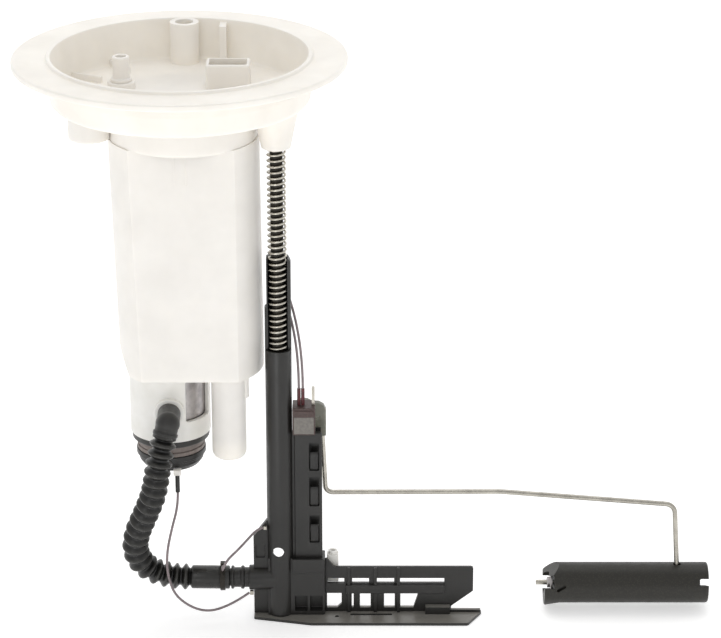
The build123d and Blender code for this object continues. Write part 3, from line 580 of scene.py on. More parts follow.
@functools.cache
def grey_nylon():
    """Glass-filled polyamide: mid grey and matt, with short fibres near the skin."""
    material, tree, shader, coords = surface("grey_nylon_glass_filled", IOR=1.52)
    fibres = add(tree, "ShaderNodeMapping", {"Vector": coords, "Scale": (1.0, 1.0, 0.25)}).outputs["Vector"]
    tint(tree, shader, clouds(tree, fibres, 2.0, detail=2.0), "#6F6560", "#7D736D")
    gloss_range(tree, shader, clouds(tree, coords, 2.0), 0.45, 0.62)
    return material


@functools.cache
def ceramic_card():
    """Fired alumina with thick-film tracks: matt grey with a faint cast."""
    material, tree, shader, coords = surface("alumina_thick_film", Roughness=0.55)
    tint(tree, shader, clouds(tree, coords, 1.2, detail=4.0), "#6C6864", "#7C7872")
    return material


@functools.cache
def green_acetal():
    """Uncoloured acetal on a green master: smoky olive, a little see-through at its edges."""
    material, tree, shader, coords = surface(
        "olive_acetal_moulded", IOR=1.48, Transmission_Weight=0.35, Subsurface_Weight=0.1,
        Subsurface_Scale=0.002)
    tint(tree, shader, clouds(tree, coords, 8.0), "#77786C", "#8E8F82")
    gloss_range(tree, shader, clouds(tree, coords, 3.0), 0.25, 0.38)
    return material


@functools.cache
def float_foam():
    """Closed-cell nitrile foam, moulded: near black, with fine pale-edged cells broken at the skin."""
    material, tree, shader, coords = surface("nitrile_foam_moulded", IOR=1.45)
    cells = add(tree, "ShaderNodeTexVoronoi", {"Vector": coords, "Scale": 1 / (0.9 * MM)}).outputs["Distance"]
    tint(tree, shader, cells, shade_of(kit().foam_colour, 1.15), shade_of(kit().foam_colour, 0.6), low=0.1, high=0.5)
    gloss_range(tree, shader, clouds(tree, coords, 4.0), 0.38, 0.48)
    relief(tree, shader, cells, 0.03)
    return material


@functools.cache
def lead_skin():
    """Fluoropolymer wire insulation, extruded: smooth dusky pink, scuffed slightly darker."""
    material, tree, shader, coords = surface("fluoropolymer_extruded", IOR=1.4)
    tint(tree, shader, clouds(tree, coords, 4.0), shade_of(kit().lead_colour, 0.75), shade_of(kit().lead_colour, 1.0))
    gloss_range(tree, shader, clouds(tree, coords, 2.0), 0.3, 0.42)
    return material


@functools.cache
def red_sleeve():
    """Heat-shrunk sleeve: dark red, tight and slightly glossy."""
    material, tree, shader, coords = surface("shrink_sleeve", IOR=1.5)
    tint(tree, shader, clouds(tree, coords, 1.5), "#4A1D20", "#64282C")
    gloss_range(tree, shader, clouds(tree, coords, 1.0), 0.3, 0.45)
    return material


@functools.cache
def seamless_paper():
    """Matt seamless paper: near white, with the faintest mottle, and glowing a little, a painted light that keeps it
    white round the module and lights the module from below.
    """
    material, tree, shader, coords = surface(
        "seamless_paper", Roughness=0.9, Emission_Color=(1.0, 1.0, 1.0, 1.0), Emission_Strength=0.38)
    tint(tree, shader, clouds(tree, coords, 60.0), shade_of(kit().floor_colour, 0.98), shade_of(kit().floor_colour, 1.0))
    return material


# ---------------------------------------------------------------- outlines

def soft(points, steps=5):
    """Corners given as (a, b, radius), each turned into a short arc."""
    out = []
    for k, (a, b, *rest) in enumerate(points):
        radius = rest[0] if rest else 0
        here = Vector((a, b, 0))
        if not radius:
            out.append((a, b))
            continue
        before = Vector((*points[k - 1][:2], 0)) - here
        after = Vector((*points[(k + 1) % len(points)][:2], 0)) - here
        half = before.angle(after) / 2
        reach = min(radius / math.tan(half), 0.48 * before.length, 0.48 * after.length)
        middle = here + (before.normalized() + after.normalized()).normalized() * reach / math.cos(half)
        first = here + before.normalized() * reach - middle
        last = here + after.normalized() * reach - middle
        for i in range(steps + 1):
            spot = middle + first.slerp(last, i / steps).normalized() * first.length
            out.append((spot.x, spot.y))
    return out


def ring(name, outer, inner, low, high, x=0.0, y=0.0, edge=0.3, steps=96):
    """A round tube standing on end, its edges softened."""
    outline = soft([(inner, low, edge), (outer, low, edge), (outer, high, edge), (inner, high, edge)])
    return lathe(name, outline, (x, y, 0), steps=steps)


def post(name, radius, low, high, x, y, steps=48):
    return bar(name, radius, (x, y, low), (x, y, high), steps)


def up(height):
    """A height above the top of the foot plate."""
    return FOOT_Z + height


# ---------------------------------------------------------------- flange and cup

def make_flange():
    piece = lathe("flange_body", soft([
        (0, -18), (60.0, -18, 2.6), (61.4, -8, 1.5), (61.4, 0, 0.6), (77.5, 0, 0.6), (77.5, 3, 0.9),
        (61.8, 3, 0.5), (61.2, 4.3, 0.7), (59.4, 4.3, 0.5), (57.8, -15.6, 1.8), (0, -15.6)]), steps=160)
    skirt = ring("skirt", 34.7, 32.7, -34.6, -17.0, 1.0, edge=0.25, steps=128)
    for angle in (200, 340, 90):
        window = brick("window", 29, 39, -4.5, 4.5, -28, -24)
        cut(skirt, turned_round(window, angle, (0, 0, 0)))
    column = post("column", 6.9, -16.2, 4.2, -0.7, 53.0, 64)
    column_bore = post("column_bore", 4.4, -6.6, 6.0, -0.7, 53.0, 64)
    boss = lathe("boss", soft([(0, -37.4), (6.8, -37.4, 0.6), (10.8, -18, 1.2), (10.8, -17.0), (0, -17.0)]),
                 (ROD_X, ROD_Y, 0), steps=72)
    collar = lathe("collar", soft([(0, -16.2), (5.5, -16.2), (5.5, -12.1, 0.6), (0, -12.1)]),
                   (ROD_X, ROD_Y, 0), steps=64)
    gland = lathe("gland", soft([(0, -24), (2.7, -24, 0.4), (2.7, -17.0), (0, -17.0)]), (ROD_X, 0.6, 0), steps=40)
    nest = lathe("nest", soft([(0, -16.2), (6.5, -16.2), (6.5, -12.1, 0.6), (0, -12.1)]), (-28, 10, 0), steps=64)
    box = brick("box", 11.3, 31.9, 7.5, 20.5, -16.2, -4.1)
    round_edges(box, 1.0, 4)
    joined(piece, skirt, column, boss, collar, gland, nest, box,
           brick("rib", 16.2, 19.4, 48, 58.6, -16.2, 3.0))
    for k in range(5):
        rib = round_edges(brick("rib", 42, 58.0, -0.8, 0.8, -16.2, -12.6), 0.3)
        joined(piece, turned_round(rib, 128 + 26 * k, (0, 0, 0)))
    hollow = round_edges(brick("hollow", 12.8, 30.4, 9.0, 19.0, -13.1, -3.0), 0.5, 3)
    cut(piece, column_bore, hollow, post("outlet_hole", 4.22, -19, -6, -28, 10),
        post("rod_hole", 3.02, -38.4, -14.1, ROD_X, ROD_Y))
    seat = ring("seat", 5.0, 3.0, -38.4, -36.0, ROD_X, ROD_Y, edge=0)
    return cut(piece, seat)


def make_outlet():
    return lathe("outlet_body", soft([
        (2.5, -18), (4.2, -18), (4.2, -12.1), (5.0, -12.1, 0.3), (5.0, -10.9, 0.4), (4.0, -10.3, 0.3),
        (4.0, -0.1, 0.9), (2.5, -0.1, 0.4)]), (-28, 10, 0), steps=64)


def make_vent():
    piece = lathe("vent_body", soft([(0, -34.4), (9.8, -34.4, 1.3), (9.8, -18, 0), (0, -18)]),
                  (-42, -8, 0), steps=96)
    cut(piece, post("skirt_line", 34.9, -36, -16, 1.0, 0, 160))
    hollow = post("vent_hollow", 8.3, -32.9, -19.5, -42, -8, 64)
    cut(hollow, post("keep_wall", 36.4, -36, -16, 1.0, 0, 160))
    cut(piece, hollow)
    for angle in (80, 115, 150):
        port = turned_round(brick("port", -42 + 6.8, -42 + 12.8, -9.5, -6.5, -28, -24), angle, (-42, -8, 0))
        cut(piece, port)
    return piece


# ---------------------------------------------------------------- canister

def can_form(name, inset, top, low, steps=160):
    """A leaning cone with a flattened front, moved inwards by inset."""
    lean, draft, run = -2.0 / 114.8, 1.1 / 114.8, 134.8
    base = Vector((3.174, 0, -159.4))
    axis = Vector((lean, 0, 1))
    middle = base + axis * run / 2
    bpy.ops.object.select_all(action="DESELECT")
    radius = 34.104 - inset
    bpy.ops.mesh.primitive_cone_add(
        vertices=steps, radius1=radius * MM, radius2=(radius + draft * run) * MM, depth=run * MM,
        location=middle * MM, rotation=(0, math.atan(lean), 0))
    bpy.ops.object.transform_apply(location=True, rotation=True, scale=True)
    piece = bpy.context.object
    piece.name = name
    common(piece, brick("bounds", -80, 80, -25.4 + inset, 80, low, top))
    x = 3.0 - 34.2 + inset
    bevel = plate("bevel", [(x - 9, -137.4), (x - 0.2, -137.4), (x + 5.4, -150.4), (x - 9, -150.4)],
                  "XZ", -50, 50)
    return cut(piece, bevel)


def make_canister():
    piece = can_form("canister_body", 0, -34.6, -149.4)
    round_edges(piece, 0.7, 4, 25)
    joined(piece, ring("neck", 32.4, 30.8, -36.0, -20.6, 1.0, edge=0.3, steps=128))
    for x in (-2.2, 3.0):
        joined(piece, round_edges(brick("rib", x - 0.4, x + 0.4, -25.75, -24.9, -52, -35.6), 0.15))
    cut(piece, can_form("can_hollow", 1.8, -36.4, -147.6, 96),
        post("holder_hole", 19.4, -150.6, -135.4, PUMP_X, 0, 96),
        post("regulator_hole", 8.3, -150.6, -146.6, 20.6, -15, 64))
    return piece


def make_holder():
    piece = ring("holder_body", 19.3, 17.3, -183.4, -118, PUMP_X, edge=0.5, steps=128)
    window = brick("window", PUMP_X, PUMP_X + 30, -7.9, 7.9, -173.6, -152.0)
    cut(piece, turned_round(round_edges(window, 1.5, 4), -40, (PUMP_X, 0, 0)))
    x, z = ELBOW.x, ELBOW.z
    stub = bar("stub", 7.2, (x, -16, z), (x, -21, z), 64)
    round_edges(stub, 0.5, 3)
    spout = bar("spout", 3.6, (x, -16, z), (x, -29.5, z))
    joined(stub, spout)
    cut(stub, post("pump_room", 17.4, -190, -110, PUMP_X, 0, 128))
    joined(piece, stub)
    return cut(piece, bar("stub_bore", 2.2, (x, -12, z), (x, -31, z)))


def make_pump():
    return lathe("pump_body", soft([
        (0, -184.6), (17.1, -184.6, 2.0), (17.1, -175.4, 0.4), (16.4, -174.9, 0.4), (16.4, -173.7, 0.4),
        (17.1, -173.1, 0.4), (17.1, -114.8, 0.4), (16.4, -114.1, 0.4), (16.4, -112.7, 0.4),
        (17.1, -112.0, 0.4), (17.1, -104.6, 2.0), (0, -104.6)]), (PUMP_X, 0, 0), steps=96)


def make_isolator():
    return lathe("isolator_body", soft([
        (13.0, -186.0), (16.5, -186.0), (16.5, -186.8, 0.3), (18.6, -186.8, 1.0), (18.6, -183.4, 0.4),
        (17.15, -183.4), (17.15, -184.6), (13.0, -184.6)]), (PUMP_X, 0, 0), steps=96)


def make_inlet_cover():
    return lathe("inlet_body", soft([
        (0, -192.4), (16.3, -192.4, 0.4), (16.3, -190.4, 0.2), (15.7, -190.2, 0.2), (15.7, -189.7, 0.2),
        (16.3, -189.5, 0.2), (16.3, -186.8, 0.3), (12.7, -186.8), (12.7, -184.6), (0, -184.6)]),
        (PUMP_X, 0, 0), steps=96)


def make_end_cap():
    return lathe("end_cap_body", soft([
        (0, -200.6), (13.5, -200.6, 1.6), (15.4, -197.9, 0.6), (15.4, -196.6, 0.3), (15.9, -196.3, 0.2),
        (15.9, -195.4, 0.2), (16.7, -195.1, 0.4), (16.7, -192.4, 0.4), (11, -192.4), (11, -199.2), (0, -199.2)]),
        (PUMP_X, 0, 0), steps=96)


def make_regulator():
    piece = lathe("regulator_body", soft([
        (0, -192.0), (8.2, -192.0, 8.0), (8.2, -147.6), (7.0, -147.6), (7.0, -183.7, 5.0), (0, -183.7)],
        steps=12), (20.6, -15, 0), steps=72)
    nub = lathe("nub", soft([(0, -161.5), (2.6, -161.5, 1.2), (2.6, -151.0, 0.6), (0, -151.0)]),
                (27.7, -15, 0), steps=40)
    cut(nub, post("reg_room", 7.4, -170, -140, 20.6, -15, 48))
    return joined(piece, nub)


# ---------------------------------------------------------------- elbow and hose



def make_elbow():
    piece = ball("elbow_body", 5.75, ELBOW, 48)
    joined(piece, bar("leg", 5.5, ELBOW, (ELBOW.x, -21.3, ELBOW.z), 48),
           bar("fall", 5.45, ELBOW, ELBOW + FALL * FALL_L, 48))
    band = bar("band", 6.0, ELBOW + FALL * (FALL_L - 1.6), ELBOW + FALL * (FALL_L + 0.05), 48)
    joined(piece, round_edges(band, 0.4, 3))
    return cut(piece, bar("leg_bore", 3.7, ELBOW, (ELBOW.x, -20, ELBOW.z), 40),
               bar("fall_bore", 3.7, ELBOW, ELBOW + FALL * (FALL_L + 1), 40))


HOSE_ROUTE = [
    tuple(ELBOW + FALL * FALL_L), tuple(ELBOW + FALL * (FALL_L + 13)), (-14.4, -34.8, -202.0), (-19.2, -29.5, -215.4),
    (-24.0, -24.0, -227.6), (-26.2, -18.8, -240.0), (-21.6, -14.2, -251.4), (-10.4, -12.3, -257.0),
    (4.4, ROD_Y, HOSE_Z), (19.5, ROD_Y, HOSE_Z)]


GROUND_ROUTE = [
    (-4.5, -18.0, -209.4), (-4.5, -18.0, -216.6), (-8.0, -20.6, -229.0), (-10.4, -22.5, -241.0),
    (-10.0, -22.2, -253.0), (-6.0, -20.6, -265.5), (7.1, -17.6, -274.8), (21.0, -16.2, -270.6), (29.0, -15.6, -264.6)]
JUMPER_ROUTE = [
    (36.0, -14.5, -230.0), (33.2, -15.6, -230.6), (29.4, -20.4, -232.8), (24.4, -25.0, -236.8),
    (19.0, -25.6, -242.0), (16.8, -23.2, -248.0), (16.2, -18.6, -251.2), (16.2, -13.7, -251.2)]


def sensor_route(k):
    """The k-th lead's way from the gland, down behind the spring, to its post on the level sensor."""
    x, high, top = 53.9 + 1.9 * k, 1.6 * k, ROD_X - 0.9 + 1.8 * k
    return [(top, 0.6, -24.0), (top, 0.6, -50.0), (top - 0.2, -2.4, -78.0), (top + 0.6, -3.6, -105.0 + high),
            (50.6 + 1.7 * k, -6.2, -124.0 + high), (x, -12.0, -144.0), (x, -12.0, -158.0)]


def hose_outline(length, settings):
    """Radius along the hose: smooth cuffs at both ends, ribs between them, wider apart in the middle."""
    crest, root, pitch, stretch = (value / MM for value in (
        settings.hose_diameter / 2, settings.hose_root / 2, settings.rib_pitch, settings.rib_stretch))
    cuff_in, cuff_out, steps = 2.2, 17.0, 14
    points = [(crest - 0.7, 0.0), (crest - 0.7, 1.4), (root, cuff_in)]
    last = cuff_in
    while last < length - cuff_out - pitch:
        step = pitch + stretch * math.sin(math.pi * (last - cuff_in) / (length - cuff_in - cuff_out)) ** 2
        for i in range(1, steps + 1):
            wave = 0.5 - 0.5 * math.cos(math.tau * i / steps)
            points.append((root + (crest - root) * wave, last + step * i / steps))
        last += step
    points += [(crest - 0.8, last + 0.9), (crest - 0.7, last + 1.5), (crest - 0.7, length - 0.4),
               (crest - 1.0, length)]
    bore_r, bore_steps = 3.6, 60
    return points + [(bore_r, length * (1 - k / bore_steps)) for k in range(bore_steps + 1)]


def mark_crests(piece, settings):
    """Keeps on each vertex how near it lies to a rib's crest, from 0 in the valleys to 1; the hose's painted highlight
    and shade follow it.
    """
    crest, root = settings.hose_diameter / 2, settings.hose_root / 2
    marks = piece.data.attributes.new("crest", "FLOAT", "POINT")
    for mark, vertex in zip(marks.data, piece.data.vertices):
        mark.value = (math.hypot(vertex.co.y, vertex.co.z) - root) / (crest - root)


def make_hose(settings, material):
    curve = route_curve("suction_hose_line", HOSE_ROUTE)
    curve.data.resolution_u = 24
    line = line_points(curve)
    length = sum((b - a).length for a, b in zip(line, line[1:])) / MM
    piece = lathe("suction_hose_body", hose_outline(length, settings), axis="X", steps=48)
    mark_crests(piece, settings)
    bpy.ops.object.select_all(action="DESELECT")
    apply_modifier(piece, "CURVE", object=curve, deform_axis="POS_X")
    bpy.data.objects.remove(curve)
    shade(piece, material, 60)
    place_cord(piece, "suction_hose", ((-10, -34, -176), (4, -12, -258)), None)
    return piece


def shade(piece, material, angle):
    bpy.ops.object.select_all(action="DESELECT")
    piece.select_set(True)
    bpy.context.view_layer.objects.active = piece
    bpy.ops.object.mode_set(mode="EDIT")
    tidy()
    bpy.ops.object.shade_smooth_by_angle(angle=math.radians(angle))
    piece.data.materials.clear()
    piece.data.materials.append(material)


# ---------------------------------------------------------------- spring and wires

def wire_piece(name, points, diameter, sides=3, caps=True):
    """A round wire of straight steps through points, kept as a mesh."""
    data = bpy.data.curves.new(name, "CURVE")
    data.dimensions = "3D"
    spline = data.splines.new("POLY")
    spline.points.add(len(points) - 1)
    for spot, point in zip(spline.points, points):
        spot.co = (*(Vector(point) * MM), 1.0)
    data.bevel_depth = diameter / 2 * MM
    data.bevel_resolution = sides
    data.use_fill_caps = caps
    curve = bpy.data.objects.new(name, data)
    bpy.context.scene.collection.objects.link(curve)
    bpy.ops.object.select_all(action="DESELECT")
    curve.select_set(True)
    bpy.context.view_layer.objects.active = curve
    bpy.ops.object.convert(target="MESH")
    return bpy.context.object


def make_spring(settings):
    """Round wire wound with closed end coils and open coils between them."""
    wire, turns, per_turn = settings.spring_wire / MM, settings.spring_coils, 40
    radius = settings.spring_diameter / 2 / MM - wire / 2
    low, high = SEAT_Z + wire / 2 + 0.05, -36.0 - wire / 2 - 0.05
    closed = 1.6
    pitch = (high - low - 2 * closed * wire) / (turns - 2 * closed)
    points = []
    for k in range(int(turns * per_turn) + 1):
        turn = k / per_turn
        rise = wire * min(turn, closed) + pitch * max(0.0, min(turn, turns - closed) - closed)
        rise += wire * max(0.0, turn - (turns - closed))
        angle = math.tau * turn
        points.append((ROD_X + radius * math.cos(angle), ROD_Y + radius * math.sin(angle), low + rise))
    return wire_piece("guide_spring_body", points, wire)


def bent(points, radii, steps=8):
    """The places along a wire of straight runs in XZ joined by arcs."""
    flat = [(x, z, r) for (x, z), r in zip(points, [0, *radii, 0])]
    return [(x, ARM_Y, z) for x, z in soft(flat, steps)]


# ---------------------------------------------------------------- guide carrier

def make_carrier():
    piece = post("carrier_body", 6.3, FOOT_Z, MOUTH_Z, ROD_X, ROD_Y, 96)
    round_edges(piece, 0.4, 3, 60)
    shell = post("shell", 6.3, MOUTH_Z - 1.0, -91.6, ROD_X, ROD_Y, 96)
    cut(shell, brick("front", ROD_X - 9, ROD_X + 9, ROD_Y - 9, ROD_Y - 1.7, MOUTH_Z + 0.05, -80),
        brick("left", ROD_X - 9, ROD_X - 5.3, ROD_Y - 9, ROD_Y + 9, MOUTH_Z + 21.5, -80),
        plate("nose", [(ROD_X + 4, -90.6), (ROD_X + 9, -90.6), (ROD_X + 9, -96.1)], "XZ", ROD_Y - 9, ROD_Y + 9))
    joined(piece, shell, column_plate(), hose_block())
    cut(piece, post("bore", 4.95, SEAT_Z, -80, ROD_X, ROD_Y, 96),
        post("bush_bore", 4.1, SEAT_Z - 15.0, SEAT_Z + 1, ROD_X, ROD_Y, 64),
        post("chamber", 4.95, FOOT_Z + 25.1, SEAT_Z - 14.0, ROD_X, ROD_Y, 96))
    x = ROD_X - 0.8
    cut(piece, bar("cross", 2.7, (x, ROD_Y + 2, up(34.8)), (x, ROD_Y - 12, up(34.8))),
        brick("cross_back", x - 2.7, x + 2.7, ROD_Y, ROD_Y + 12, up(26.0), up(36.0)))
    for x in (53.5, 62.5):
        cut(piece, post("pin_hole", 1.6, FOOT_Z - 1, up(4.2), x, -8.8, 32))
    bore = bar("hose_bore", 2.6, (18.5, ROD_Y, HOSE_Z), (38.0, ROD_Y, HOSE_Z))
    return cut(piece, bore)


def column_plate():
    low, top = up(30.6), up(96.3)
    body = round_edges(brick("plate", 51.5, 64.8, -14.2, -11.6, low - 1, top), 0.5, 3)
    joined(body, round_edges(brick("web", ROD_X + 5.4, 53.0, -13.2, -10.1, low - 1, top), 0.3, 2),
           brick("stiffener", 51.5, 53.1, -13.2, -6.2, low - 1, top))
    joined(body, brick("backing", 51.5, 64.2, -8.2, -7.0, low - 1, top))
    for high, deep in ((5.2, 19.8), (23.1, 38.6), (43.4, 58.0)):
        high, deep = top - high, top - deep
        window = round_edges(brick("window", 58.55, 63.45, -16, -10, deep, high), 0.6, 3)
        cut(body, window)
        h = 0.62 * (high - deep)
        tongue = plate("tongue", [(-11.7, deep - 0.3), (-13.1, deep - 0.3), (-13.1, deep + h - 1.6),
                                  (-12.5, deep + h), (-11.7, deep + h)], "YZ", 59.05, 62.95)
        joined(body, round_edges(tongue, 0.2))
    rest = round_edges(brick("rest", 60.4, 63.8, -12.1, -2.5, top - 22.7, top - 19.2), 0.3)
    return joined(body, rest)


def hose_block():
    wing = plate("wing", soft([(31.3, FOOT_Z, 0.5), (ROD_X - 5.4, FOOT_Z), (ROD_X - 5.4, up(50.1)), (37.9, up(50.1), 0.5),
                               (31.3, up(41.2), 1.5)]), "XZ", ROD_Y - 1.6, ROD_Y + 1.6)
    round_edges(wing, 0.3)
    cut(wing, round_edges(brick("recess", 32.3, 37.0, -16, ROD_Y - 0.6, up(30.0), up(37.0)), 0.5, 3))
    body = round_edges(brick("block", 38.2, 66.0, -15.8, -6.2, FOOT_Z, up(30.6)), 0.5, 3)
    ledge = round_edges(brick("ledge", 50.0, 66.0, -17.2, -14.0, up(23.3), up(30.6)), 0.4, 3)
    joined(body, wing, ledge)
    for x in (51.2, 58.6):
        cut(body, round_edges(brick("pocket", x, x + 6.2, -18, -11.6, up(2.2), up(10.4)), 0.4, 3))
    boss = bar("boss", 6.1, (29.0, ROD_Y, HOSE_Z), (ROD_X - 0.7, ROD_Y, HOSE_Z), 64)
    return joined(body, round_edges(boss, 0.5, 3), make_spigot())


def make_spigot():
    side = soft([(0, 19.5), (4.3, 19.5, 0.3), (4.3, 20.1), (5.7, 20.4, 0.2), (5.7, 21.4, 0.3), (4.9, 21.9, 0.2),
                 (4.9, 24.9, 0.2), (5.7, 25.3, 0.2), (5.7, 26.4, 0.3), (4.9, 26.9, 0.2), (4.9, 30.0), (0, 30.0)])
    return lathe("spigot", side, (0, ROD_Y, HOSE_Z), axis="X", steps=64)


# ---------------------------------------------------------------- foot bracket

def make_foot():
    y0, y1 = ROD_Y, ROD_Y + 2.0
    wall = plate("foot_body", soft([
        (66.0, FOOT_Z), (127.6, FOOT_Z), (127.6, up(2.8), 0.6), (138.3, up(11.1), 1.0),
        (138.3, up(24.1), 1.2), (70.4, up(24.1), 0.6), (66.0, up(29.6), 0.6)]), "XZ", y0, y1)
    round_edges(wall, 0.3, 2, 50)
    for x0, x1 in ((67.2, 75.3), (79.2, 87.4), (91.3, 99.7), (102.6, 124.2)):
        cut(wall, brick("slit", x0, x1, y0 - 1, y1 + 1, up(15.3), up(18.1)))
    low, high = up(2.2), up(10.0)
    for hole in ([(66.9, high), (74.0, high), (74.0, low + 2.0), (72.0, low), (66.9, low)],
                 [(79.0, high), (79.9, high), (79.9, low), (79.0, low)],
                 [(83.0, high), (88.2, high), (88.2, low), (83.0, low)],
                 [(94.8, high), (100.0, high), (100.0, low), (94.8, low)],
                 [(102.8, high), (111.6, high), (109.2, low), (102.8, low)]):
        cut(wall, plate("window", hole, "XZ", y0 - 1, y1 + 1))
    joined(wall, round_edges(brick("band", 76.0, 124.4, y0 - 1.6, y0 + 0.4, up(10.4), up(14.9)), 0.35, 3))
    for x in (76.8, 89.8, 101.0):
        joined(wall, round_edges(brick("rib", x, x + 1.5, y0 - 1.2, y0 + 0.4, FOOT_Z - 0.4, up(24.0)), 0.25))
    joined(wall, round_edges(brick("step", 115.0, 127.0, y0 - 3.2, y0 + 0.4, FOOT_Z - 0.4, up(3.8)), 0.3),
           round_edges(brick("kerb", 126.5, 142.0, y0 - 0.8, y0 + 1.2, FOOT_Z - 0.4, up(1.4)), 0.3),
           brick("jet_pad", 66.6, 72.8, y1 - 0.4, y1 + 1.15, up(18.8), up(23.2)), foot_plate())
    for x in (53.5, 62.5):
        joined(wall, post("pin", 1.5, FOOT_Z - 0.4, up(4.0), x, -8.8, 32))
    return wall


def foot_plate():
    outline = soft([(31.3, -6.5, 0.5), (31.3, -17.6, 0.8), (59.2, -24.3, 1.5), (135.6, -24.5, 1.5),
                    (142.4, ROD_Y, 1.0), (142.4, ROD_Y + 2.0, 0.4), (66.0, ROD_Y + 2.0), (66.0, -6.5, 0.5)])
    sole = plate("sole", outline, "XY", FOOT_Z - 1.6, FOOT_Z)
    round_edges(sole, 0.3, 2, 50)
    slot_hole = round_edges(brick("slot", 78.2, 98.8, -16.2, -14.4, FOOT_Z - 3, FOOT_Z + 1), 0.8, 4)
    return cut(sole, post("eye", 1.0, FOOT_Z - 3, FOOT_Z + 1, 71.8, -17.3, 32), slot_hole,
               post("inlet", 4.2, FOOT_Z - 3, FOOT_Z + 1, ROD_X, ROD_Y, 48))


def make_jet():
    y0 = ROD_Y + 3.2
    piece = round_edges(brick("jet_body", 66.9, 72.5, y0, y0 + 5.0, up(14.6), up(29.2)), 0.5, 3)
    joined(piece, post("nose", 2.2, up(29.0), up(30.6), 69.7, y0 + 2.5, 40))
    return cut(piece, post("jet_bore", 1.2, up(20.6), up(32), 69.7, y0 + 2.5, 32))


# ---------------------------------------------------------------- level sensor

def make_sensor():
    low, top = up(96.3), up(110.2)
    piece = round_edges(brick("sensor_body", 50.8, 61.6, -17.0, -6.0, low, top), 0.4, 3)
    cut(piece, brick("card_seat", 51.4, 61.1, -18, -16.2, low + 0.5, low + 9.3),
        bar("hub", 4.5, (PIVOT.x, -9.0, PIVOT.z), (PIVOT.x, -15.2, PIVOT.z)),
        bar("hub_hole", 2.05, (PIVOT.x, -5.0, PIVOT.z), (PIVOT.x, -10.0, PIVOT.z)))
    joined(piece, round_edges(brick("hood", 51.6, 60.8, -17.5, -16.6, top - 2.6, top - 1.2), 0.25))
    for x in (53.9, 55.8):
        cut(piece, post("post_hole", 0.5, top - 2.6, top + 1, x, -12.0, 20))
    return piece


def make_arm_holder(wire_path):
    outline = [(53.0, 4.1, 1.2), (63.2, 4.1, 1.2), (65.6, 2.7, 1.0), (66.7, 0.5, 0.8),
               (66.7, -13.0, 0.6), (62.3, -13.0, 0.6), (59.0, -6.2, 2.0), (53.0, -4.8, 1.2)]
    piece = plate("arm_holder_body", soft([(x, PIVOT.z + z, r) for x, z, r in outline]), "XZ", -5.7, -1.7)
    round_edges(piece, 0.4, 3, 50)
    joined(piece, round_edges(bar("hub", 5.6, (PIVOT.x, -1.7, PIVOT.z), (PIVOT.x, -5.7, PIVOT.z), 64), 0.4, 3),
           bar("journal", 2.0, (PIVOT.x, -5.0, PIVOT.z), (PIVOT.x, -10.2, PIVOT.z), 40))
    groove = wire_piece("groove", wire_path[:14], 2.42, sides=6)
    return cut(piece, groove)


def make_float():
    """Foam float: jaws round the nut at one end, a see-through slot at the other."""
    x0, x1, r, y, z, gap = 173.2, 253.6, 10.0, ARM_Y, FLOAT_Z, 1.3
    centre, turn = (0, y, z), math.radians(-25)
    piece = lathe("float_body", soft([(0, x0), (r, x0, 0.7), (r, x1, 1.1), (0, x1)]), centre, axis="X", steps=112)
    jaw = lathe("jaw", soft([(0, x0 + 0.02), (r + 1.2, x0 + 0.02, 0.7), (r, x0 + 7.7, 0.3), (0, x0 + 7.7)]), centre,
                axis="X", steps=112)
    shaved(jaw, centre, (0, -math.sin(turn), math.cos(turn)))
    shaved(piece, (x0, y, z + r - 7.4), (-7.4, 0, 5.3))
    joined(piece, jaw)
    cut(piece,
        bar("bore", gap, (x0 - 1, y, z), (238.9, y, z), 32),
        brick("bend_room", 232.9, 240.7, y - gap, y + gap, z - gap, z + 6),
        brick("entry", 236.7, 240.3, y - gap, y + gap, z, z + 12),
        bar("nut_room", 5.3, (x0 - 1, y, z), (x0 + 5.0, y, z), 64))
    for low, high, width in ((x0 - 1, x0 + 5.0, 6.4), (x1 - 4.5, x1 + 1, 3.4)):
        slot = round_edges(brick("slot", low, high, y - 14, y + 14, z - width / 2, z + width / 2), 0.7, 3)
        cut(piece, tipped(slot, turn, centre))
    slit = round_edges(brick("slit", x0 + 5.7, x0 + 10.7, y - r - 2, y - r + 2, z + 0.35, z + 2.05), 0.6, 3)
    return cut(piece, tipped(slit, math.radians(-30), (x0 + 8.2, y - r, z + 1.2), axis="Y"))


def make_push_nut():
    centre = (0, ARM_Y, FLOAT_Z)
    return lathe("push_nut_body", soft([
        (1.25, 174.8), (2.6, 174.8, 0.4), (2.6, 176.3, 0.2), (4.7, 176.5, 0.2), (4.7, 177.6, 0.3),
        (1.25, 177.6)]), centre, axis="X", steps=64)


# ---------------------------------------------------------------- settings

